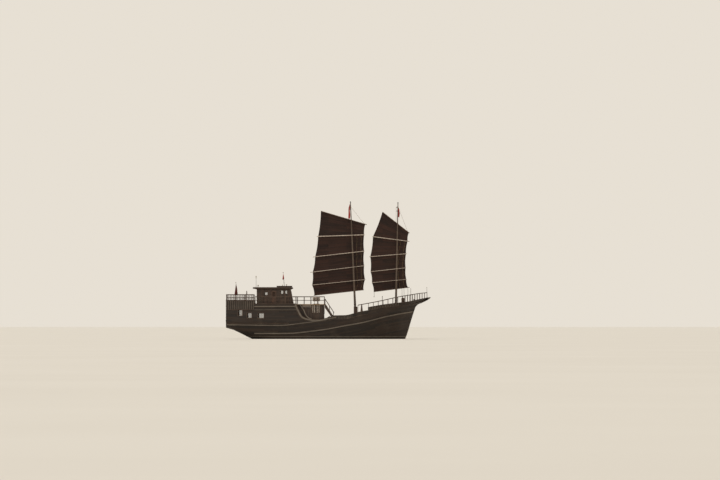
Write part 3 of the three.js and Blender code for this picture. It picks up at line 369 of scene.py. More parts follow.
def rounded_group():
    """Modifier that shades a faceted solid smooth where its faces meet at a small angle."""
    tree = bpy.data.node_groups.new("soft_facets", "GeometryNodeTree")
    tree.interface.new_socket("Geometry", in_out="INPUT", socket_type="NodeSocketGeometry")
    tree.interface.new_socket("Geometry", in_out="OUTPUT", socket_type="NodeSocketGeometry")
    new = tree.nodes.new
    start, end = new("NodeGroupInput"), new("NodeGroupOutput")
    plain_normals = new("GeometryNodeRemoveAttribute")
    plain_normals.inputs["Name"].default_value = "custom_normal"
    weld = new("GeometryNodeMergeByDistance")
    weld.inputs["Distance"].default_value = 0.0002
    faces, edges = new("GeometryNodeSetShadeSmooth"), new("GeometryNodeSetShadeSmooth")
    faces.domain, edges.domain = "FACE", "EDGE"
    faces.inputs["Shade Smooth"].default_value = True
    edges.inputs["Shade Smooth"].default_value = False
    angle = new("GeometryNodeInputMeshEdgeAngle")
    sharp = new("FunctionNodeCompare")
    sharp.operation = "GREATER_THAN"
    sharp.inputs[1].default_value = SMOOTH_ANGLE
    chain = [start, plain_normals, weld, faces, edges, end]
    for a, b in zip(chain, chain[1:]):
        tree.links.new(a.outputs[0], b.inputs[0])
    tree.links.new(angle.outputs[0], sharp.inputs[0])
    tree.links.new(sharp.outputs[0], edges.inputs["Selection"])
    return tree


def dress_nodes():
    group = rounded_group()
    for look, names in NODE_LOOKS.items():
        for name, node in nodes.items():
            if any(name == n or name.startswith(n + "_") for n in names):
                node.data.materials.clear()
                node.data.materials.append(LOOKS[look])
                node.modifiers.new("soft_facets", "NODES").node_group = group


dress_nodes()


# Building blocks for the scene's own pieces

def smooth(knots, x):
    """Smooth line through the knots (x, value) with no overshoot, as in the hull's own lines."""
    if x <= knots[0][0]:
        return knots[0][1]
    if x >= knots[-1][0]:
        return knots[-1][1]
    rise = [(b[1] - a[1]) / (b[0] - a[0]) for a, b in zip(knots, knots[1:])]

    def slope(i):
        if i == 0 or i == len(rise):
            return rise[0 if i == 0 else -1]
        a, b = rise[i - 1], rise[i]
        return 0 if a * b <= 0 else 2 * a * b / (a + b)

    i = next(k for k in range(len(knots) - 1) if x <= knots[k + 1][0])
    wide = knots[i + 1][0] - knots[i][0]
    t = (x - knots[i][0]) / wide
    value = knots[i][1] * (2 * t**3 - 3 * t**2 + 1) + knots[i + 1][1] * (3 * t**2 - 2 * t**3)
    return value + wide * (slope(i) * (t**3 - 2 * t**2 + t) + slope(i + 1) * (t**3 - t**2))


def steps(a, b, step):
    n = max(1, ceil(abs(b - a) / step - 1e-9))
    return [a + (b - a) * i / n for i in range(n + 1)]


def section(wide, high, cut):
    """Rectangle with its corners cut, centred on the path."""
    w, h = wide / 2, high / 2
    c = min(cut, w / 2, h / 2)
    return [(-w, -h + c), (-w + c, -h), (w - c, -h), (w, -h + c), (w, h - c), (w - c, h), (-w + c, h), (-w, h - c)]


def round_section(radius, n):
    return [(radius * cos(2 * pi * i / n), radius * sin(2 * pi * i / n)) for i in range(n)]


class Form:
    """Collects shapes into one mesh, then makes it a piece that rides on a body."""

    def __init__(self):
        self.bm = bmesh.new()

    def skin(self, rings, closed_path=False):
        made = [[self.bm.verts.new(p) for p in ring] for ring in rings]
        n = len(rings[0])
        for a, b in list(zip(made, made[1:])) + ([(made[-1], made[0])] if closed_path else []):
            for i in range(n):
                j = (i + 1) % n
                self.bm.faces.new((a[i], a[j], b[j], b[i]))
        if not closed_path:
            self.bm.faces.new(made[0][::-1])
            self.bm.faces.new(made[-1])

    def sweep(self, path, profile, up=Z, scale=None, closed=False):
        """Profile points are (sideways, up); up is one direction or one for each point of the path."""
        path = [Vector(p) for p in path]
        n, rings = len(path), []
        for i, p in enumerate(path):
            if closed:
                way = path[(i + 1) % n] - path[i - 1]
            else:
                way = path[min(i + 1, n - 1)] - path[max(i - 1, 0)]
            way.normalize()
            across = way.cross(Vector(up[i] if isinstance(up, list) else up)).normalized()
            top = across.cross(way).normalized()
            size = scale[i] if scale else 1.0
            rings.append([p + (across * a + top * b) * size for a, b in profile])
        self.skin(rings, closed)

    def beam(self, a, b, wide, high, up=Z, cut=0.008):
        self.sweep([a, b], section(wide, high, cut), up)

    def across(self, x, z, half, wide, high, up=Z, cut=0.008):
        """Beam across the boat at (x, z), from -half to half."""
        self.beam((x, -half, z), (x, half, z), wide, high, up, cut)

    def upright(self, x, y, foot, head, wide, deep, out, cut=0.008):
        self.beam((x, y, foot), (x, y, head), wide, deep, out, cut)

    def tube(self, path, radius, n=8, radii=None, closed=False):
        path = [Vector(p) for p in path]
        way = (path[-1] - path[0]) if not closed else (path[1] - path[0])
        up = Y if abs(way.normalized().y) < 0.8 else X
        self.sweep(path, round_section(1.0, n), up, radii or [radius] * len(path), closed)

    def lathe(self, base, axis, profile, n=14):
        """Profile points are (radius, height along the axis)."""
        axis = Vector(axis).normalized()
        side = axis.cross(X if abs(axis.x) < 0.8 else Y).normalized()
        other = axis.cross(side)
        rings = []
        for radius, height in profile:
            middle = Vector(base) + axis * height
            turns = [2 * pi * i / n for i in range(n)]
            rings.append([middle + (side * cos(t) + other * sin(t)) * max(radius, 1e-4) for t in turns])
        self.skin(rings)

    def hoop(self, base, axis, inner, outer, wide, edge, n, start=0.0):
        """Ring with bevelled edges, from start to start + wide along the axis."""
        profile = [(inner, 0), (outer, edge), (outer, wide - edge), (inner, wide)]
        self.lathe(base, axis, [(radius, start + height) for radius, height in profile], n)

    def slab(self, corners, out, thick):
        corners, out = [Vector(c) for c in corners], Vector(out).normalized()
        self.skin([[c - out * thick / 2 for c in corners], [c + out * thick / 2 for c in corners]])

    def flip(self, geom):
        for v in geom:
            if isinstance(v, bmesh.types.BMVert):
                v.co.y = -v.co.y
        bmesh.ops.reverse_faces(self.bm, faces=[f for f in geom if isinstance(f, bmesh.types.BMFace)])
        return self

    def mirror(self):
        """Moves the shapes to the other side of the boat."""
        return self.flip(self.bm.verts[:] + self.bm.faces[:])

    def both(self):
        """Adds the mirror image on the other side of the boat."""
        geom = self.bm.verts[:] + self.bm.edges[:] + self.bm.faces[:]
        return self.flip(bmesh.ops.duplicate(self.bm, geom=geom)["geom"])

    def make(self, name, look, body="root", slot=None):
        bmesh.ops.recalc_face_normals(self.bm, faces=self.bm.faces[:])
        mesh = mesh_of(name, self.bm)
        mesh.shade_smooth()
        mesh.set_sharp_from_angle(angle=SHARP_ANGLE)
        mesh.materials.append(LOOKS[look])
        made = linked(name, mesh)
        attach(made, body)
        return made


def tree_of(names):
    points, faces = [], []
    for name in names:
        mesh = nodes[name].data
        start = len(points)
        points += [v.co.copy() for v in mesh.vertices]
        faces += [[start + i for i in p.vertices] for p in mesh.polygons]
    return BVHTree.FromPolygons(points, faces)


SIDE = tree_of(["hull", "aft_side_starboard", "bulwark_starboard"])


def side(x, z, out=0.0):
    """Point on the starboard side at (x, z), moved out from it, and the outward direction there."""
    for dz in (0, -0.03, 0.03, -0.08, 0.08, -0.15):
        hit, normal, _, _ = SIDE.ray_cast(Vector((x, -6, z + dz)), Y)
        if hit and hit.y < -0.05:
            normal = normal if normal.y < 0 else -normal
            return Vector((x, hit.y, z)) + normal * out, normal
    raise ValueError(f"no side at {x:.2f}, {z:.2f}")


def on_side(form, line, profile, out):
    """Sweeps a moulding along points (x, z) on the starboard side, standing out from it."""
    spots = [side(x, z, out) for x, z in line]
    form.sweep([p for p, _ in spots], profile, [n for _, n in spots])


def level(z, a, b, step):
    """Points (x, z) at one height, from x = a to b."""
    return [(x, z) for x in steps(a, b, step)]


def under(top, drop, a, b, step):
    """Points (x, z) at a drop under a bulwark's top, from x = a to b."""
    return [(x, smooth(top, x) - drop) for x in steps(a, b, step)]


def window(form, panes, corners, out, casing=0.07, depth=0.07, bars=(2, 1), thick=0.06):
    """Casing round an opening, glazing bars and a pane. corners run round it and out points outdoors."""
    corners, out = [Vector(c) for c in corners], Vector(out).normalized()
    centre = sum(corners, Vector()) / 4
    for a, b, share in zip(corners, corners[1:] + corners[:1], (0.45, 0.55, 0.45, 0.55)):
        way = (b - a).normalized() * casing * 0.45
        for face in (0.012, -thick - 0.012):
            form.beam(a - way + out * face, b + way + out * face, casing, depth * share, out)
    low, right, high, left = corners
    middle = -out * thick / 2
    for count, (a, b), (c, d) in ((bars[0], (low, right), (left, high)), (bars[1], (low, left), (right, high))):
        for i in range(1, count):
            t = i / count
            form.beam(a.lerp(b, t) + middle, c.lerp(d, t) + middle, 0.03, 0.03, out, 0.004)
    panes.slab([centre + (c - centre) * 1.005 + middle for c in corners], out, 0.008)


# Hull trim

BULWARK_TOP = [(-2.2, 2.47), (-1.3, 2.45), (-0.3, 2.6), (0.4, 2.93), (1.3, 2.95), (2.1, 2.96), (3.9, 3.4),
               (5.04, 3.6)]
FORE_TOP = [(5.04, 3.99), (7.0, 4.33), (8.35, 4.5), (10.0, 4.69), (11.7, 5.04), (12.86, 5.27)]
SWEEP = [(-4.1, 4.46), (-3.95, 4.05), (-3.7, 3.56), (-3.45, 3.05), (-3.2, 2.79), (-2.7, 2.56), (-2.15, 2.468)]
AFT_TOP, QUARTER_TOP, QUARTER_END = 4.45, 4.9, -9.4
STERN, AFT_END = -13.0, -12.97
WALL = 0.09
CAP_HIGH = 0.05
STAND = 0.012  # How far most mouldings stand out from the side


def curve(points, per):
    """Smooth curve through the given points, with per points from each to the next."""
    points = [Vector(p) for p in points]
    ends = [2 * points[0] - points[1], *points, 2 * points[-1] - points[-2]]
    made = []
    for i in range(len(points) - 1):
        a, b, c, d = ends[i:i + 4]
        for k in range(per):
            t = k / per
            made.append(0.5 * (2 * b + (c - a) * t + (2 * a - 5 * b + 4 * c - d) * t * t
                               + (3 * b - a - 3 * c + d) * t**3))
    return made + [points[-1]]


def sweep_line(dx=0.0, dz=0.0):
    """Points (x, z) of the poop side's curved fore edge, moved by (dx, dz)."""
    return [(p.x + dx, p.y + dz) for p in curve([(x, z, 0) for x, z in SWEEP], 3)]


def cap_rail(form, line, wide=0.17):
    path = [side(x, z - 0.03)[0] + Y * WALL / 2 for x, z in line]
    path = [Vector((p.x, p.y, z + CAP_HIGH / 2)) for p, (_, z) in zip(path, line)]
    form.sweep(path, section(wide, CAP_HIGH, 0.014))


def cap_rails():
    form = Form()
    cap_rail(form, under(BULWARK_TOP, 0, -2.15, 5.0, 0.4))
    cap_rail(form, under(FORE_TOP, 0, 5.08, 12.7, 0.4), 0.19)
    cap_rail(form, level(AFT_TOP, QUARTER_END + 0.02, -4.12, 0.6))
    cap_rail(form, level(QUARTER_TOP, -12.95, QUARTER_END - 0.02, 0.6), 0.18)
    path = [(x + 0.02, side(x - 0.05, z - 0.05)[0].y + WALL / 2, z + 0.02) for x, z in sweep_line()]
    form.sweep(path, section(0.15, 0.05, 0.012), X)
    form.both()
    form.across(-12.95, 4.926, 2.0, 0.18, CAP_HIGH)
    form.across(12.95, 5.29, 0.42, 0.16, CAP_HIGH)
    form.across(12.86, 5.2, 0.4, 0.2, 0.16, Z, 0.03)
    form.make("cap_rails", "rail", slot="rail_timber")


BEAD = section(0.075, 0.06, 0.02)
SLIM = section(0.05, 0.045, 0.015)
FACING = section(0.2, 0.05, 0.02)
QUARTER_SLATS = (3.74, 4.82)
# Height, width, depth, cut corner and distance from the side of each moulding on the stern wall
STERN_BANDS = [(4.15, 0.09, 0.05, 0.015, 0.02), (3.82, 0.05, 0.04, 0.015, 0.02), (2.72, 0.07, 0.045, 0.015, 0.02),
               (2.3, 0.12, 0.06, 0.015, 0.02), (1.75, 0.05, 0.03, 0.01, 0.1), (2.05, 0.05, 0.03, 0.01, 0.1)]
KNEE = [(-3.62, -2.44, 4.40), (-3.42, -2.5, 4.08), (-3.16, -2.58, 3.72), (-2.98, -2.66, 3.32),
        (-2.78, -2.76, 2.95), (-2.48, -2.88, 2.66), (-2.1, -2.96, 2.50)]
FOREFOOT = [(8.5, -0.84), (9.05, -0.8), (9.05, -1.05), (8.85, -1.12), (8.5, -1.12)]


def slats_on_side(form, feet, heads, profile):
    """Upright slats on the starboard side, from feet to heads, which are points (x, z)."""
    for (x, low), (_, high) in zip(feet, heads):
        spots = [side(x, z, STAND) for z in (low, (low + high) / 2, high)]
        form.sweep([p for p, _ in spots], profile, spots[0][1])


def mouldings():
    form = Form()
    on_side(form, level(1.97, AFT_END, -5.0, 0.5), SLIM, STAND)
    on_side(form, sweep_line(-0.26, -0.15), SLIM, STAND)
    on_side(form, under(FORE_TOP, 0.36, 5.1, 12.3, 0.45), SLIM, 0.01)
    on_side(form, under(BULWARK_TOP, 0.44, 0.1, 4.98, 0.45), SLIM, 0.01)
    low, high = QUARTER_SLATS
    for z in (low - 0.04, high + 0.02):
        on_side(form, level(z, AFT_END, QUARTER_END - 0.04, 0.5), BEAD, 0.014)
    form.both().make("side_mouldings", "rail", slot="rail_timber")


def pale_mouldings():
    """Weathered bands along the side, round the sweep and on the bulwark, and slats on quarter, waist and bow."""
    form = Form()
    on_side(form, level(4.12, QUARTER_END + 0.02, -4.2, 0.5), section(0.12, 0.06, 0.02), STAND)
    on_side(form, level(3.69, QUARTER_END + 0.02, -4.0, 0.5), SLIM, STAND)
    on_side(form, sweep_line(-0.09, -0.05)[:-1] + under(BULWARK_TOP, 0.12, -2.0, 0.0, 0.25), FACING, STAND)
    form.both().make("side_bands", "wale", slot="wale_timber")
    form = Form()
    feet, heads = (level(z, -12.9, -9.5, 0.243) for z in QUARTER_SLATS)
    slats_on_side(form, feet, heads, section(0.075, 0.034, 0.01))
    for top, drop, spots, profile in ((BULWARK_TOP, 0.42, (0.15, 3.0, 0.19), section(0.06, 0.03, 0.008)),
                                      (FORE_TOP, 0.33, (5.2, 8.9, 0.206), section(0.07, 0.028, 0.008))):
        slats_on_side(form, under(top, drop, *spots), under(top, 0.05, *spots), profile)
    form.both().make("side_slats", "wear_and_highlight", slot="wale_timber")


def sweep_bracket():
    """Curved knee from the poop's edge down to the side, ahead of the sweep and along it."""
    form = Form()
    form.sweep(curve(KNEE, 4), section(0.09, 0.13, 0.03), X)
    form.both().make("sweep_brackets", "wale", slot="wale_timber")


def stern_trim():
    """Mouldings, posts and slats on the stern wall."""
    form = Form()
    for z, high, deep, cut, inset in STERN_BANDS:
        form.across(STERN, z, abs(side(STERN + 0.05, z)[0].y) - inset, high, deep, -X, cut)
    for y in (-1.55, 0.0, 1.55):
        form.upright(STERN, y, 2.36, 4.86, 0.12, 0.036, -X, 0.012)
    for y in steps(-1.84, 1.84, 0.23):
        form.upright(STERN, y, 4.2, 4.86, 0.07, 0.03, -X)
    form.make("stern_trim", "rail", slot="rail_timber")


def forefoot_knee():
    """Filling timber in the corner between the keel, the stem and the hull's bottom."""
    form = Form()
    form.slab([(x, 0, z) for x, z in FOREFOOT], Y, 0.2)
    form.make("forefoot_knee", "bottom", slot="bottom_paint")


def waist_deck(x):
    return 2.3 + 0.004 * max(0, x + 1.5)**2.3


def fore_deck(x):
    return 3.45 + 0.155 * (x - FORE_TOP[0][0])


def stanchions():
    """Inner timbers of the bulwarks, from the deck to the cap rail."""
    form = Form()
    for line, spots, deck in ((BULWARK_TOP, steps(-1.6, 4.7, 0.7), waist_deck),
                              (FORE_TOP, steps(5.5, 11.0, 0.78), fore_deck)):
        for x in spots:
            head, path = smooth(line, x), []
            for z in steps(deck(x) - 0.03, head, 0.25):
                shell = max(side(x + away, min(z, head - 0.05))[0].y for away in (-0.05, 0.05))
                path.append((x, shell + WALL + 0.03, z))
            form.sweep(path, section(0.1, 0.09, 0.012), X)
    form.both().make("bulwark_timbers", "post", slot="rail_timber")


FORE_RAIL_TOP = [(3.76, 4.33), (6.7, 4.89), (8.83, 5.37), (10.25, 5.61), (11.5, 5.82), (12.56, 5.93)]
FORE_POLES = [(6.85, 5.36, 0.03), (10.47, 6.35, 0.022)]


def fore_rail_posts():
    """Slim stanchions between the posts of the fore rail, and two poles on its starboard side."""
    def foot(x):
        high = smooth(FORE_TOP, x)
        return Vector((x, side(x, high - 0.03)[0].y + WALL / 2, high + CAP_HIGH - 0.01))

    form = Form()
    for x in steps(9.763, 12.249, 0.622):
        low = foot(x)
        form.tube([low, (x, low.y, smooth(FORE_RAIL_TOP, x) - 0.05)], 0.028, 8)
    form.both()
    for x, top, radius in FORE_POLES:
        low = foot(x)
        form.tube([low, (x, low.y, top)], radius, 8)
        knob = [(radius, 0), (radius * 1.6, 0.02), (radius * 1.6, 0.06), (0.01, 0.1)]
        form.lathe((x, low.y, top - 0.01), Z, knob, 10)
    form.make("fore_rail_stanchions", "rail", slot="rail_timber")


def stair_caps():
    """Rounded caps on the handrails of both stairs."""
    form = Form()
    stair = tree_of(["stair_starboard"])
    for y in (-2.025, -1.325):
        top, foot = [stair.ray_cast(Vector((x, y, 6)), -Z)[0] for x in (-0.44, 0.7)]
        form.beam(top + Z * 0.02, foot + Z * 0.02, 0.1, 0.07, Z, 0.02)
    form.both().make("stair_caps", "rail", slot="rail_timber")


cap_rails()
mouldings()
pale_mouldings()
fore_rail_posts()
stair_caps()
sweep_bracket()
stern_trim()
forefoot_knee()
stanchions()


# Windows and doors

AFT_WINDOWS = [(-11.46, -10.90, 2.92, 3.70), (-10.32, -9.70, 2.65, 3.33), (-8.92, -8.15, 2.62, 3.30)]
CABIN_HALF, CABIN_FORE = 2.2, -0.54
CABIN_LIGHT = (-2.1, -1.03, 3.38, 4.18)
CABIN_BARS = (-1.96, -1.73, -1.42, -1.18)
HOUSE_HALF, HOUSE_AFT = 1.7, -9.08
HOUSE_WINDOWS = [(-8.15, -7.70, 5.56, 5.96), (-6.10, -5.72, 5.70, 6.18), (-5.55, -5.22, 5.70, 6.18)]
HOUSE_DOOR = (-7.26, -6.598, 4.48, 6.18)
LOUVRE_TILT = (0, -1, 0.8)
RAKE = (1, 0, 0.2)  # Direction out of the wheelhouse's front


def house_fore(z):
    return -4.45 - 0.38 * (z - 4.42) / 1.88


def side_window(form, panes, x0, x1, z0, z1, y):
    window(form, panes, [(x0, y, z0), (x1, y, z0), (x1, y, z1), (x0, y, z1)], -Y, bars=(1, 1))


def end_window(form, panes, x, y, half, z0, z1, out, **how):
    """Window in a wall across the boat; x is a function of height where the wall leans."""
    spots = [(y - half, z0), (y + half, z0), (y + half, z1), (y - half, z1)]
    window(form, panes, [(x(z) if callable(x) else x, a, z) for a, z in spots], out, **how)


def aft_window(form, panes, x0, x1, z0, z1):
    """Window that follows the curved side, whose opening is read just outside its corners."""
    corners = []
    for x, z in ((x0, z0), (x1, z0), (x1, z1), (x0, z1)):
        away, lift = (0.06 if x == x1 else -0.06), (0.06 if z == z1 else -0.06)
        corners.append(Vector((x, side(x + away, z + lift)[0].y, z)))
    out = (corners[3] - corners[0]).cross(corners[1] - corners[0])
    window(form, panes, corners, out if out.y < 0 else -out, thick=WALL, casing=0.09)


def glazing():
    form, panes, slats, louvres = Form(), Form(), Form(), Form()
    for spot in AFT_WINDOWS:
        aft_window(form, panes, *spot)
    x0, x1, low, high = CABIN_LIGHT
    side_window(form, panes, *CABIN_LIGHT, -CABIN_HALF)
    for x in CABIN_BARS:
        slats.upright(x, -CABIN_HALF - 0.03, low - 0.05, 4.4, 0.07, 0.045, -Y, 0.012)
    for z, wide in ((4.27, 0.08), (4.08, 0.06)):
        y = -CABIN_HALF - 0.005
        slats.beam((-3.3, y, z), (x0 - 0.08, y, z), wide, 0.04, -Y, 0.01)
    for z in steps(low + 0.05, high - 0.05, 0.07):
        y = -CABIN_HALF + 0.048
        louvres.beam((x0 + 0.01, y, z), (x1 - 0.01, y, z), 0.07, 0.01, LOUVRE_TILT)
    for spot in HOUSE_WINDOWS:
        side_window(form, panes, *spot, -HOUSE_HALF)
    for shape in (form, panes, slats, louvres):
        shape.both()
    for y in (-1.6, 1.6):
        end_window(form, panes, CABIN_FORE, y, 0.3, 3.2, 3.95, X, bars=(2, 2))
    for y in (-0.9, 0.9):
        end_window(form, panes, STERN + 0.01, y, 0.33, 2.95, 3.65, -X, bars=(2, 2), thick=WALL, casing=0.09)
    for y in (-1.25, -0.42, 0.42, 1.25):
        end_window(form, panes, house_fore, y, 0.34, 5.56, 6.12, RAKE, bars=(1, 1), casing=0.06)
    for y in (-0.85, 0.85):
        end_window(form, panes, HOUSE_AFT, y, 0.35, 5.4, 5.95, -X)
    form.make("window_frames", "rail", slot="rail_timber")
    panes.make("window_panes", "glass")
    slats.make("cabin_window_bars", "batten", slot="wale_timber")
    louvres.make("cabin_louvres", "rail", slot="rail_timber")


def leaf_frame(place, span, stile, rail, levels, size, faces):
    """Stiles and rails on both faces of a door leaf. place turns (along, face, z) into a point."""
    (a, b, low, high), (wide, thick) = span, size
    leaf = Form()
    for face, out in faces:
        for along in (a + stile, b - stile):
            leaf.beam(place(along, face, low), place(along, face, high), 0.09, thick, out, 0.003)
        for z in levels:
            leaf.beam(place(a + rail, face, z), place(b - rail, face, z), wide, thick, out, 0.003)
    return leaf


def saloon_door():
    low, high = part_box("saloon_door_starboard")
    a, b, z0, z1 = low.y + 0.03, -0.012, low.z + 0.01, high.z - 0.01
    leaf = leaf_frame(lambda y, x, z: (x, y, z), (a, b, z0, z1), 0.05, 0.09, (z0 + 0.09, z0 + 0.78, z1 - 0.06),
                      (0.11, 0.012), ((-0.543, X), (-0.592, -X)))
    metal, z = Form(), z0 + 0.95
    metal.lathe((-0.538, b - 0.06, z), X, [(0.035, 0), (0.035, 0.008), (0.012, 0.012), (0.012, 0.04)], 12)
    metal.tube([(-0.5, b - 0.06, z), (-0.495, b - 0.1, z), (-0.495, b - 0.17, z)], 0.011)
    return {"panels": leaf, "handle": metal}


def wheelhouse_door():
    a, b, z0, z1 = HOUSE_DOOR[0] + 0.008, HOUSE_DOOR[1] - 0.008, HOUSE_DOOR[2] + 0.01, HOUSE_DOOR[3] - 0.01
    leaf = leaf_frame(lambda x, y, z: (x, y, z), (a, b, z0, z1), 0.055, 0.1, (z0 + 0.1, z0 + 0.72, z1 - 0.06),
                      (0.1, 0.01), ((-1.697, -Y), (-1.648, Y)))
    metal, louvres, z = Form(), Form(), z0 + 0.9
    metal.lathe((b - 0.08, -1.702, z), -Y, [(0.03, 0), (0.03, 0.006), (0.011, 0.01), (0.011, 0.03)], 12)
    metal.tube([(b - 0.08, -1.73, z), (b - 0.13, -1.732, z), (b - 0.18, -1.73, z)], 0.01)
    for z in steps(5.36, 5.94, 0.058):
        louvres.beam((a + 0.14, -1.672, z), (b - 0.14, -1.672, z), 0.06, 0.01, LOUVRE_TILT, 0.002)
    return {"panels": leaf, "handle": metal, "louvres": louvres}


def doors():
    """Rails and stiles, handles and louvres of the four door leaves."""
    for hand in ("starboard", "port"):
        for door, build in (("saloon_door", saloon_door), ("wheelhouse_door", wheelhouse_door)):
            for part, form in build().items():
                if hand == "port":
                    form.mirror()
                look, slot = ("bronze", "bronze") if part == "handle" else ("rail", "door_timber")
                form.make(f"{door}_{part}_{hand}", look, f"{door}_{hand}", slot)


glazing()
doors()


# Wheelhouse and poop

HOUSE_FOOT, HOUSE_HEAD = 4.43, 6.29
LATTICE_PITCH = 0.16
ROOF_AFT, ROOF_FORE, ROOF_HALF = -9.58, -4.56, 2.01
RAISED_ROOF = (-6.6, -4.62, 1.3, 6.72)  # Aft and fore end, half width and height
BALUSTER = [(0.03, 0), (0.03, 0.06), (0.018, 0.1), (0.034, 0.2), (0.036, 0.27), (0.018, 0.4), (0.024, 0.52),
            (0.02, 0.7)]
BINNACLE = [(0.11, 0), (0.11, 0.05), (0.13, 0.07), (0.13, 0.1), (0.09, 0.16), (0.02, 0.2)]


def lattice(form, x0, x1, z0, z1, y):
    """Diagonal lattice in a rectangle of the X-Z plane, with one layer a little in front of the other."""
    wide, high = x1 - x0, z1 - z0
    for i in range(1, ceil((wide + high) / LATTICE_PITCH)):
        d = i * LATTICE_PITCH
        a = (x0 + max(0.0, d - high), z0 + min(d, high))
        b = (x0 + min(d, wide), z0 + max(0.0, d - wide))
        for (ax, az), (bx, bz), lap in ((a, b, 0.003), ((x0 + x1 - a[0], a[1]), (x0 + x1 - b[0], b[1]), -0.003)):
            if hypot(ax - bx, az - bz) > 0.05:
                form.beam((ax, y + lap, az), (bx, y + lap, bz), 0.022, 0.02, -Y, 0.004)


def house_trim():
    """Rails and posts on the four walls of the wheelhouse, and a lattice aft on each side."""
    form, screen = Form(), Form()
    y = -HOUSE_HALF
    for z in (4.47, 5.36, 6.25):
        for a, b in ((HOUSE_AFT, HOUSE_DOOR[0] - 0.05), (HOUSE_DOOR[1] + 0.05, house_fore(z))):
            form.beam((a, y, z), (b, y, z), 0.09, 0.04, -Y, 0.01)
    for x in (HOUSE_AFT + 0.02, -8.28, -7.58, HOUSE_DOOR[0] - 0.06, HOUSE_DOOR[1] + 0.06, -5.635):
        form.upright(x, y, HOUSE_FOOT, HOUSE_HEAD, 0.09, 0.045, -Y, 0.01)
    foot, head = [(house_fore(z) - 0.03, y, z) for z in (HOUSE_FOOT, HOUSE_HEAD)]
    form.beam(foot, head, 0.1, 0.045, -Y, 0.01)
    form.both()
    lattice(screen, -9.0, -8.34, 4.53, 5.3, y - 0.012)
    screen.both().make("wheelhouse_lattice", "wear_and_highlight", slot="wale_timber")
    for z in (4.5, 5.34, 6.24):
        form.across(house_fore(z), z, HOUSE_HALF, 0.09, 0.04, RAKE, 0.01)
    for y in (-0.835, 0.0, 0.835):
        form.beam((house_fore(4.44), y, 4.44), (house_fore(6.28), y, 6.28), 0.09, 0.045, RAKE, 0.01)
    for z in (4.47, 5.28, 6.2):
        form.across(HOUSE_AFT, z, HOUSE_HALF, 0.09, 0.04, -X, 0.01)
    for y in (-1.66, 0.0, 1.66):
        form.upright(HOUSE_AFT, y, HOUSE_FOOT, HOUSE_HEAD, 0.1, 0.045, -X, 0.01)
    form.make("wheelhouse_trim", "rail", slot="rail_timber")


def roof_top(y):
    return 6.57 - 0.06 * (y / 2.0)**2


def roof_trim():
    """Fascia boards and battens on the roof, and an edge and battens on its raised fore part."""
    form = Form()
    for y in (-ROOF_HALF, ROOF_HALF):
        form.beam((ROOF_AFT, y, 6.455), (ROOF_FORE, y, 6.455), 0.045, 0.12, Z, 0.012)
    for x in (ROOF_AFT, ROOF_FORE):
        form.sweep([(x, y, roof_top(y) - 0.055) for y in steps(-2.0, 2.0, 0.5)], section(0.045, 0.13, 0.012))
    low, high, half, top = RAISED_ROOF
    for y in steps(-1.9, 1.9, 0.38):
        z, fore = roof_top(y) + 0.008, low if abs(y) < half else high
        form.beam((ROOF_AFT + 0.04, y, z), (fore, y, z), 0.05, 0.025, Z, 0.006)
    for y in (-half, half):
        form.beam((low, y, top), (high, y, top), 0.06, 0.05, Z, 0.012)
    for x in (low + 0.02, high - 0.02):
        form.across(x, top, half + 0.02, 0.06, 0.05, Z, 0.012)
    for y in steps(-1.0, 1.0, 0.5):
        form.beam((low + 0.05, y, top + 0.018), (high - 0.05, y, top + 0.018), 0.05, 0.02, Z, 0.005)
    form.make("roof_trim", "rail", slot="roof_paint")


# Foot, height and radius of each lamp, and foot and radius of each finial
LAMPS = [((-8.94, -1.2, roof_top(-1.2) - 0.005), 0.32, 0.075), ((-5.85, -0.8, 6.728), 0.18, 0.05),
         ((-5.33, -0.5, 6.728), 0.22, 0.07), ((-9.25, 0.9, 7.72), 0.3, 0.06)]
FINIALS = [((-5.78, 0, 8.42), 0.045), ((-11.74, -2.13, 7.12), 0.04), ((12.54, 0, 6.49), 0.035)]
QUARTER_POST_X = -10.35


def lamp(metal, glass, foot, high, r):
    """Small deck lamp on a stem: base, glass and cap."""
    base = [(r * 1.3, 0), (r * 1.3, 0.02), (0.02, 0.03), (0.02, high * 0.45), (r * 1.1, high * 0.5),
            (r * 1.1, high * 0.54)]
    bowl = [(r * 0.85, 0), (r, high * 0.1), (r * 0.85, high * 0.25)]
    cap = [(r * 1.15, 0), (r * 0.9, high * 0.1), (0.02, high * 0.2), (0.012, high * 0.26)]
    for form, share, profile in ((metal, 0, base), (glass, 0.54, bowl), (metal, 0.79, cap)):
        form.lathe(Vector(foot) + Z * high * share, Z, profile)


def poop_fittings():
    """Lamps on the roof and a pole, finials on the poles, and a post on the starboard quarter."""
    metal, glass, wood = Form(), Form(), Form()
    for foot, high, radius in LAMPS:
        lamp(metal, glass, foot, high, radius)
    shell = side(QUARTER_POST_X, QUARTER_TOP - 0.03)[0].y
    foot = Vector((QUARTER_POST_X, shell + WALL / 2, QUARTER_TOP + CAP_HIGH - 0.01))
    wood.tube([foot, foot + Z * 0.9, foot + Z * 1.16], 0.05, 12, [0.07, 0.062, 0.04])
    wood.lathe(foot, Z, [(0.085, 0), (0.085, 0.03), (0.06, 0.06)])
    wood.make("quarter_post", "post", slot="rail_timber")
    for tip, r in FINIALS:
        metal.lathe(tip, Z, [(0.012, 0), (r, 0.02), (r * 1.1, 0.05), (r * 0.7, 0.085), (0.006, 0.11)], 12)
    metal.make("lamps_and_finials", "bronze", slot="bronze")
    glass.make("lamp_glasses", "lamp")


CANISTER_MIDDLE = Vector((-1.525, -1.72, 5.08))
CANISTER_RADIUS = 0.29


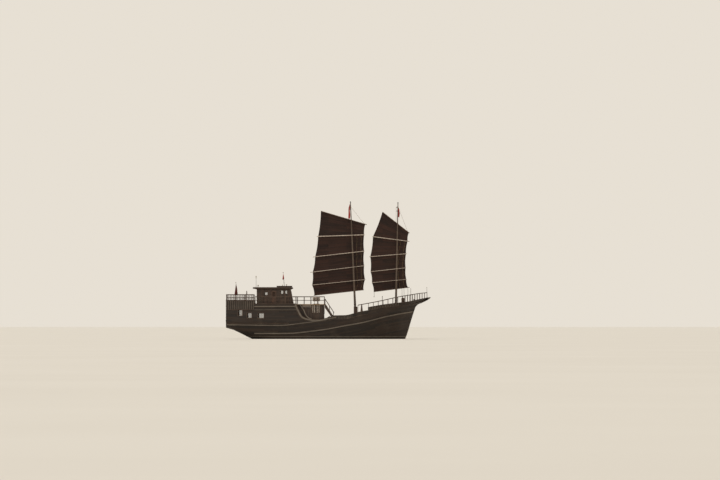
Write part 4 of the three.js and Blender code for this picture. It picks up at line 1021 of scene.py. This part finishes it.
def canister():
    """Ribs, straps and joint of the raft canister, and the iron facing of its cradle."""
    ribs, straps = Form(), Form()
    middle, radius = CANISTER_MIDDLE, CANISTER_RADIUS
    for dx in (-0.37, -0.12, 0.12, 0.37):
        ribs.hoop(middle + X * (dx - 0.03), X, radius - 0.01, radius + 0.008, 0.06, 0.01, 28)
    for dx in (-0.235, 0.235):
        straps.hoop(middle + X * (dx - 0.022), X, radius - 0.01, radius + 0.012, 0.044, 0.002, 28)
        for half, dz, wide in ((0.27, -0.13, 0.09), (0.25, -0.63, 0.1)):
            straps.beam(middle + Vector((dx, -half, dz)), middle + Vector((dx, half, dz)), wide, 0.05)
    for hand in (-1, 1):
        out = middle + Y * hand * (radius - 0.002)
        straps.beam(out - X * 0.41, out + X * 0.41, 0.02, 0.035)
    ribs.make("canister_ribs", "shell", slot="canister_paint")
    straps.make("canister_straps", "iron")


def balusters():
    """Turned balusters between the posts of the stern rail."""
    form = Form()
    for x in steps(-12.8, -9.55, 0.203):
        form.lathe((x, side(x, QUARTER_TOP - 0.03)[0].y + WALL / 2, QUARTER_TOP + 0.04), Z, BALUSTER, 7)
    form.both()
    for y in steps(-1.78, 1.78, 0.21):
        form.lathe((-12.945, y, QUARTER_TOP + 0.04), Z, BALUSTER, 7)
    form.make("stern_balusters", "post", slot="rail_timber")


def inside_house():
    """Binnacle, console and side bench that show through the wheelhouse windows."""
    wood, metal = Form(), Form()
    wood.across(-4.96, 5.3, 1.55, 0.5, 0.04)
    for y in (-1.4, -0.5, 0.5, 1.4):
        wood.upright(-4.9, y, HOUSE_FOOT, 5.28, 0.05, 0.3, X)
    wood.beam((-8.9, 1.32, 4.85), (-6.9, 1.32, 4.85), 0.5, 0.05)
    for x in (-8.8, -7.9, -7.0):
        for y in (1.14, 1.5):
            wood.upright(x, y, HOUSE_FOOT, 4.83, 0.06, 0.06, X)
    metal.lathe((-5.12, 0, 5.32), Z, BINNACLE, 18)
    wood.make("wheelhouse_furniture", "door", slot="door_timber")
    metal.make("binnacle", "bronze", slot="bronze")


house_trim()
roof_trim()
poop_fittings()
canister()
balusters()
inside_house()


# Deck gear

BITTS_X = 10.9
CLEATS = ((0.6, 2.36), (2.1, 2.42))
# Mast's x and radius at its tabernacle, and the heights of the pins
PINS = ((3.42, 0.155, (3.98, 3.2)), (8.61, 0.145, (4.5, 4.15)))
HATCH_TOP = 4.158
DRUM_X, DRUM_Z = 9.5, 4.79


def deck_gear():
    """Mooring bitts on the fore deck, cleats inside the bulwark, and pins through the tabernacles."""
    wood, iron = Form(), Form()
    for y in (-0.42, 0.42):
        path = [(BITTS_X, y, z) for z in (4.3, 4.86, 4.92, 5.06)]
        wood.sweep(path, section(0.18, 0.18, 0.02), X, [1, 1, 0.8, 1.05])
    wood.across(BITTS_X, 4.7, 0.72, 0.13, 0.15, Z, 0.02)
    for x, z in CLEATS:
        inner = abs(side(x, z + 0.35)[0].y) - 0.17
        for y in (-inner, inner):
            wood.beam((x - 0.28, y, z + 0.42), (x + 0.28, y, z + 0.42), 0.07, 0.06, Z, 0.015)
    wood.make("bitts_and_posts", "post", slot="rail_timber")
    for x, radius, levels in PINS:
        long = 2 * radius + 0.28
        pin = [(0.045, 0), (0.045, 0.03), (0.025, 0.04), (0.025, long - 0.04), (0.045, long - 0.03), (0.045, long)]
        for z in levels:
            iron.lathe((x, -radius - 0.14, z), Y, pin, 10)
    iron.make("tabernacle_pins", "iron", slot="bronze")


def hatch_gear():
    iron = Form()
    for y in (-0.38, 0.38):
        iron.beam((5.96, y, HATCH_TOP), (6.9, y, HATCH_TOP), 0.05, 0.012, Z, 0.003)
    for y in (-0.3, 0.3):
        ring = [(7.02 + a, y + b, HATCH_TOP + 0.005) for a, b in round_section(0.05, 14)]
        iron.tube(ring, 0.008, 6, closed=True)
    iron.make("hatch_straps", "iron", "hatch_lid")


def windlass_gear():
    iron = Form()
    for y in (-0.5, -0.2, 0.2, 0.5):
        iron.hoop((DRUM_X, y - 0.02, DRUM_Z), Y, 0.115, 0.135, 0.04, 0.002, 24)
    for y in (-0.705, 0.675):
        iron.hoop((DRUM_X, y, DRUM_Z), Y, 0.045, 0.06, 0.03, 0.006, 14)
    iron.make("windlass_hoops", "iron", "windlass_drum")


deck_gear()
hatch_gear()
windlass_gear()


# Masts

# Foot and head as (x, z), then the radius at each
MASTS = {"main": ((3.46, 2.64), (2.80, 17.4), 0.155, 0.05), "fore": ((8.59, 4.07), (8.86, 17.3), 0.145, 0.048)}


def mast_at(name, z):
    """Middle and radius of a mast at a height."""
    foot, head, low, high = MASTS[name]
    t = (z - foot[1]) / (head[1] - foot[1])
    return Vector((foot[0] + (head[0] - foot[0]) * t, 0, z)), low + (high - low) * t


def mast_axis(name):
    return mast_at(name, 17)[0] - mast_at(name, 5)[0]


def mast_fittings():
    """Iron bands, masthead caps and halyard sheaves."""
    form = Form()
    for name, levels in (("main", (4.4, 4.7, 16.5, 17.0)), ("fore", (4.9, 5.2, 16.3, 16.9))):
        axis = mast_axis(name)
        for z in levels:
            p, r = mast_at(name, z)
            form.hoop(p, axis, r - 0.005, r + 0.012, 0.06, 0.002, 20, -0.03)
        top, r = mast_at(name, MASTS[name][1][1])
        cap = [(r * wide, high) for wide, high in ((0.9, 0), (1.7, 0.015), (1.8, 0.05), (1.2, 0.09), (0.8, 0.12))]
        form.lathe(top - Z * 0.01, axis, cap + [(0.01, 0.15)], 16)
        for z in (levels[2], levels[3] - 0.1):
            p, r = mast_at(name, z)
            form.hoop(p - X * (0.07 + r), Y, 0.05, 0.055, 0.06, 0.01, 14, -0.03)
    form.make("mast_bands", "iron")


mast_fittings()


# Sails, with their lashings and ropes

CLOTH_Y = 0.24
# A spar runs from (aft, aft_z) to (fore, fore_z); leech and luff are the x of the cloth's edges on it
Spar = namedtuple("Spar", "name aft aft_z fore fore_z radius leech luff")
SPARS = {
    "main": [("yard", -0.96, 16.28, 4.88, 14.57, 0.055, -0.95, 4.67),
             ("batten_1", -1.48, 13.056, 4.62, 13.274, 0.06, -1.3, 4.53),
             ("batten_2", -1.99, 10.44, 4.6, 11.192, 0.05, -1.68, 4.52),
             ("batten_3", -2.32, 8.48, 4.6, 9.333, 0.04, -1.99, 4.52),
             ("batten_4", -2.13, 6.86, 4.74, 7.575, 0.036, -2.07, 4.64),
             ("boom", -1.88, 5.54, 4.52, 6.25, 0.046, -1.78, 4.44)],
    "fore": [("yard", 6.88, 16.18, 10.33, 13.49, 0.05, 6.9, 10.23),
             ("batten_1", 5.6, 13.05, 10.33, 12.424, 0.055, 5.69, 10.08),
             ("batten_2", 5.2, 10.472, 10.0, 10.861, 0.048, 5.35, 9.87),
             ("batten_3", 5.36, 8.562, 9.88, 9.063, 0.038, 5.39, 9.82),
             ("batten_4", 5.5, 7.158, 9.99, 7.596, 0.034, 5.56, 9.91),
             ("boom", 5.76, 6.009, 10.33, 6.579, 0.044, 5.79, 10.11)],
}
SAILS = {name: [Spar(*row) for row in rows] for name, rows in SPARS.items()}
CLOTH_WIDTH = 0.46
HOLLOW = 0.07
BELLY = 0.11
COLUMNS, ROWS_A_WIDTH = 56, 5
HALYARD_REACH = {"main": 0.27, "fore": 0.22}
ROPE_POINTS = 18
TAIL_RADIUS = 0.017


def spar_z(row, x):
    return row.aft_z + (row.fore_z - row.aft_z) * (x - row.aft) / (row.fore - row.aft)


def sail_point(top, low, u, v):
    """Point of a panel between two spars: u from leech to luff and v from the upper spar down."""
    hollow = HOLLOW * sin(pi * v)
    aft = top.leech + (low.leech - top.leech) * v + hollow
    fore = top.luff + (low.luff - top.luff) * v - hollow
    x = aft + (fore - aft) * u
    ends = [spar_z(row, row.leech + (row.luff - row.leech) * u) for row in (top, low)]
    z = ends[0] + (ends[1] - ends[0]) * v
    high = ends[0] - ends[1]
    belly = BELLY * min(1.0, high / 2.2) * sin(pi * v)**0.8 * (0.35 + 0.65 * sin(pi * u)**0.6)
    fold = 0.013 * sin(9.0 * x + 5.0 * z + 3.0 * sin(1.7 * z)) * sin(pi * v)
    strips = 0.018 * abs(sin(pi * v * round(high / CLOTH_WIDTH)))
    return Vector((x, CLOTH_Y + 0.008 + belly + fold * 0.6 + strips, z))


def sail_mesh(name, rows):
    """Cloth of a sail, and the lines along its leech, luff, head and foot."""
    bm = bmesh.new()
    uv = bm.loops.layers.uv.new("cloth")
    grid, marks = [], []
    widths = 0.0
    for k, (top, low) in enumerate(zip(rows, rows[1:])):
        ends = [spar_z(row, x) for row in (top, low) for x in (row.leech, row.luff)]
        high = (ends[0] + ends[1] - ends[2] - ends[3]) / 2
        count = max(3, round(high / CLOTH_WIDTH))
        lines = ROWS_A_WIDTH * count
        for i in range(0 if k == 0 else 1, lines + 1):
            v = i / lines
            grid.append([bm.verts.new(sail_point(top, low, c / COLUMNS, v)) for c in range(COLUMNS + 1)])
            marks.append(widths + count * v)
        widths += count
    for a, b, high, low in zip(grid, grid[1:], marks, marks[1:]):
        for c in range(COLUMNS):
            face = bm.faces.new((a[c], a[c + 1], b[c + 1], b[c]))
            for loop, mark in zip(face.loops, (high, high, low, low)):
                loop[uv].uv = (loop.vert.co.x, mark)
    borders = ([g[0] for g in grid], [g[-1] for g in grid], grid[0], grid[-1])
    edges = [[v.co.copy() for v in line] for line in borders]
    mesh = mesh_of(f"{name}_sail_cloth", bm)
    mesh.shade_smooth()
    mesh.materials.append(LOOKS["sail"])
    return mesh, edges


def sail_ropes(name, rows, edges, body):
    """Bolt ropes round the cloth, and lashings to the spars."""
    form = Form()
    for line in edges:
        form.tube(line[::2] + ([line[-1]] if len(line) % 2 == 0 else []), 0.02, 6)
    for row in rows:
        y, r = CLOTH_Y - row.radius, row.radius
        for x in steps(row.leech + 0.12, row.luff - 0.12, 0.4):
            loop = []
            for c, s in round_section(1.0, 10):
                reach = (r + 0.012) if c < 0 else (r + 0.03)
                loop.append((x, y + reach * c, spar_z(row, x) + (r + 0.016) * s))
            form.tube(loop, 0.007, 4, closed=True)
    return form.make(f"{name}_sail_ropes", "dark_rope", body)


def running_lines(name, rows, body):
    """Two lines down the luff, and halyards from a strop at the masthead to the yard."""
    form = Form()
    for shift in (0.42, 0.98):
        path = []
        for k, row in enumerate(rows[1:]):
            for away in (0.0, -0.5) if k < len(rows) - 2 else (0.0,):
                z = spar_z(row, rows[1].luff - shift) + away * 0.9
                path.append((row.luff - shift + (0.1 if away else 0.0), CLOTH_Y - 2 * row.radius - 0.025, z))
        form.tube(path, 0.011, 6)
    yard = rows[0]
    top, r = mast_at(name, 16.75)
    form.hoop(top, mast_axis(name), r + 0.012, r + 0.03, 0.06, 0.005, 18, -0.03)
    hang = top + Vector((-HALYARD_REACH[name], 0.08, 0.02))
    form.beam(top + Vector((-r - 0.01, 0.03, 0)), hang, 0.03, 0.04)
    for start, x, radius in ((hang, hang.x, 0.013), (top + Vector((r + 0.02, 0.03, 0)), yard.luff - 0.15, 0.011)):
        form.tube([start, (x, CLOTH_Y - yard.radius, spar_z(yard, x) + yard.radius)], radius, 6)
    form.make(f"{name}_running_lines", "rope", body)


def sail(name):
    rows, body = SAILS[name], f"{name}_sail"
    mesh, edges = sail_mesh(name, rows)
    cloth = linked(f"{name}_sail_cloth", mesh)
    shell = cloth.modifiers.new("cloth_thickness", "SOLIDIFY")
    shell.thickness, shell.offset = 0.006, 1.0
    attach(cloth, body)
    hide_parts(f"{name}_cloth")
    bolt = sail_ropes(name, rows, edges, body)
    running_lines(name, rows, body)
    outline = [(row.leech, spar_z(row, row.leech)) for row in rows]
    outline += [(row.luff, spar_z(row, row.luff)) for row in rows[::-1]]


for sail_name in SAILS:
    sail(sail_name)


def knot(form, p, size):
    profile = [(0.01, 0), (size * 0.8, size * 0.3), (size, size), (size * 0.7, size * 1.7), (0.012, size * 2)]
    form.lathe(Vector(p) - Z * size, Z, profile, 10)


def hanging(name, exit_at, length, radius, body, block=False):
    """Rope that hangs from a boom, with a knot or a block on its end."""
    spots = []
    for i in range(ROPE_POINTS):
        t = i / (ROPE_POINTS - 1)
        bend = 0.02 * sin(3 * t) * t
        spots.append(Vector(exit_at) + Vector((bend, bend * 0.6, -length * t)))
    data = bpy.data.curves.new(name, "CURVE")
    data.dimensions, data.bevel_depth, data.bevel_resolution = "3D", radius, 2
    data.use_fill_caps = True
    spline = data.splines.new("POLY")
    spline.points.add(len(spots) - 1)
    for point, p in zip(spline.points, spots):
        point.co = (*p, 1)
    data.materials.append(LOOKS["dark_rope"])
    rope = linked(name, data)
    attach(rope, body)
    end = Form()
    if block:
        sheave = [(0.03, 0), (0.05, 0.006), (0.052, 0.03), (0.05, 0.054), (0.03, 0.06)]
        end.lathe(spots[-1] - Y * 0.03, Y, sheave, 14)
    else:
        knot(end, spots[-1], radius * 2.4)
    tip = end.make(f"{name}_end", "post" if block else "dark_rope", body)


def boom_ropes():
    row = SAILS["fore"][-1]
    y = CLOTH_Y - row.radius
    for i, (x, length) in enumerate(((9.37, 0.92), (9.63, 0.98), (10.12, 0.86))):
        hanging(f"fore_boom_tail_{i + 1}", (x, y, spar_z(row, x) - row.radius), length, TAIL_RADIUS, "fore_sail")
    x = row.aft + 0.06
    hanging("fore_sheet_tail", (x, y, spar_z(row, x) - row.radius), 0.6, TAIL_RADIUS, "fore_sail", block=True)


boom_ropes()


FALL_FRAMES = 70


def flag_cloth(name, top, drop, fly, pole, turn, down_pole):
    """Flat cloth of a flag that stands out from its pole, and the numbers of the vertices at its hoist."""
    down = max(8, round(drop / 0.035))
    across = max(14, round(fly / 0.045))
    bm = bmesh.new()
    uv = bm.loops.layers.uv.new("cloth")
    grid = []
    for j in range(down + 1):
        row = []
        for i in range(across + 1):
            out = pole + fly * i / across
            wave = 0.02 * sin(9 * i / across + 3 * j / down) * i / across
            p = Vector((out * cos(turn) - wave * sin(turn), out * sin(turn) + wave * cos(turn), 0))
            row.append(bm.verts.new(top + p + down_pole * drop * j / down))
        grid.append(row)
    for a, b in zip(grid, grid[1:]):
        for i in range(across):
            for loop in bm.faces.new((a[i], b[i], b[i + 1], a[i + 1])).loops:
                place = loop.vert.co - top
                loop[uv].uv = (hypot(place.x, place.y), 0.3 - place.z * 1.6)
    bm.verts.index_update()
    hoist = [row[0].index for row in grid]
    return mesh_of(name, bm), hoist


def limp_flag(name, top, drop, fly, pole, turn, lean):
    """Flag with its hoist of length drop down a pole from top, let fall in still air by a cloth simulation.

    turn is the flag's direction from the pole, and lean how far the pole moves forward for each metre down.
    """
    top, down_pole = Vector(top), lean * X - Z
    mesh, hoist = flag_cloth(name, top, drop, fly, pole, turn, down_pole)
    made = linked(name, mesh)
    made.vertex_groups.new(name="hoist").add(hoist, 1.0, "REPLACE")

    post = Form()
    post.tube([top - down_pole * 0.3, top + down_pole * (drop + fly + 0.2)], pole - 0.012, 12)
    bmesh.ops.recalc_face_normals(post.bm, faces=post.bm.faces[:])
    solid = linked("flag_pole", mesh_of("flag_pole", post.bm))
    solid.modifiers.new("solid", "COLLISION")
    solid.collision.thickness_outer = 0.006

    fall = made.modifiers.new("fall", "CLOTH")
    how = fall.settings
    how.quality, how.mass, how.air_damping = 12, 0.2, 2.0
    how.tension_stiffness = how.compression_stiffness = 120
    how.tension_damping = how.compression_damping = how.shear_damping = 25
    how.shear_stiffness, how.bending_stiffness = 60, 1.0
    how.vertex_group_mass = "hoist"
    fall.collision_settings.distance_min = 0.006
    fall.collision_settings.use_self_collision = True
    fall.collision_settings.self_distance_min = 0.008
    fall.point_cache.frame_end = FALL_FRAMES
    for frame_number in range(1, FALL_FRAMES + 1):
        bpy.context.scene.frame_set(frame_number)
    fallen = bpy.data.meshes.new_from_object(made.evaluated_get(bpy.context.evaluated_depsgraph_get()))
    made.modifiers.remove(fall)
    made.data = fallen
    bpy.data.objects.remove(solid)
    bpy.context.scene.frame_set(1)
    finish_flag(made)


def finish_flag(made, look="flag"):
    made.data.shade_smooth()
    made.data.materials.clear()
    made.data.materials.append(LOOKS[look])
    shell = made.modifiers.new("cloth_thickness", "SOLIDIFY")
    shell.thickness, shell.offset = 0.003, 0.0
    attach(made, "root")


PLEAT_RAYS, PLEAT_RINGS = 110, 6
PLEAT_STEP = 0.0005
PLEATS, PLEAT_SWING, PLEAT_SPREAD = 3.2, 0.13, 0.1


def pleat_rays(lean):
    """Directions of the lines of cloth from a flag's upper corner, evenly spaced in the angle between them."""
    down_pole = (lean * X - Z).normalized()

    def way(t):
        swing = PLEAT_SWING * (1 + 0.25 * sin(4 * t)) * sin(2 * pi * PLEATS * t + 0.5 * sin(5 * t))
        return (down_pole.lerp(-Z, min(1, 1.6 * t)) - Y * PLEAT_SPREAD * t + X * swing).normalized()

    rays, turned, t = [way(0.0)], 0.0, 0.0
    while len(rays) <= PLEAT_RAYS:
        turned += way(t).angle(way(t + PLEAT_STEP))
        t += PLEAT_STEP
        if turned >= pi / 2 * len(rays) / PLEAT_RAYS:
            rays.append(way(t))
    return rays


def pleated_flag(name, look, top, drop, fly, pole, lean):
    """Flag that hangs in pleats from the upper corner of its hoist, down the starboard side of a leaning pole.

    Each line of cloth from that corner stays straight and as long as it was cut, and so do the angles between
    them: their directions weave from the pole towards the plumb line through a quarter turn in all.
    """
    corner = Vector(top) - Y * pole
    bm = bmesh.new()
    uv = bm.loops.layers.uv.new("cloth")
    grid = []
    tip = bm.verts.new(corner)
    flat_of = {tip: (0.0, 0.0)}
    for i, ray in enumerate(pleat_rays(lean)):
        angle = pi / 2 * i / PLEAT_RAYS
        long = min(drop / max(cos(angle), 1e-6), fly / max(sin(angle), 1e-6))
        row = []
        for k in range(1, PLEAT_RINGS + 1):
            r = long * k / PLEAT_RINGS
            row.append(bm.verts.new(corner + ray * r))
            flat_of[row[-1]] = (r * sin(angle), r * cos(angle))
        grid.append(row)
    for a, b in zip(grid, grid[1:]):
        faces = [bm.faces.new((tip, a[0], b[0]))]
        faces += [bm.faces.new((a[k], a[k + 1], b[k + 1], b[k])) for k in range(PLEAT_RINGS - 1)]
        for face in faces:
            for loop in face.loops:
                along, down = flat_of[loop.vert]
                loop[uv].uv = (along, 0.3 + down * 1.6)
    finish_flag(linked(name, mesh_of(name, bm)), look)


def flags():
    pleated_flag("roof_flag", "flag", (-5.77, 0, 8.33), 0.5, 0.65, 0.034, 0.087)
    pleated_flag("stern_flag", "dark_flag", (-11.73, -2.13, 7.0), 0.7, 1.3, 0.044, 0.148)
    limp_flag("main_pennant", (2.81, 0, 17.2), 0.45, 1.9, 0.075, radians(170), 0.045)
    limp_flag("fore_pennant", (8.85, 0, 16.8), 0.4, 1.3, 0.07, radians(10), -0.02)


flags()


# Floor at the waterline, and soft light from above and behind

FLOOR_HALF = 6000
SKY, SKY_STRENGTH = (1.0, 0.93, 0.82, 1), 0.8
# Name, energy, angular size and turn in degrees
SUNS = (("key", 1.2, 30, (-48, 0, 18)), ("fill", 0.3, 60, (50, 0, -30)))


def studio():
    bm = bmesh.new()
    bmesh.ops.create_grid(bm, x_segments=8, y_segments=8, size=FLOOR_HALF)
    mesh = mesh_of("floor", bm)
    look = Look("pale_floor", Specular_IOR_Level=0.2)
    tone = look.noise(look.where, 0.05, 3)
    mesh.materials.append(look.done(look.mix(tone, "cdc8bf", "d6d2ca"), 0.9))
    linked("floor", mesh)

    world = bpy.data.worlds.new("studio")
    world.use_nodes = True
    back = world.node_tree.nodes["Background"]
    back.inputs["Color"].default_value = SKY
    back.inputs["Strength"].default_value = SKY_STRENGTH
    bpy.context.scene.world = world
    bpy.context.scene.view_settings.view_transform = "Standard"
    for name, energy, size, turn in SUNS:
        data = bpy.data.lights.new(name, "SUN")
        data.energy, data.angle = energy, radians(size)
        linked(name, data).rotation_euler = [radians(a) for a in turn]


studio()
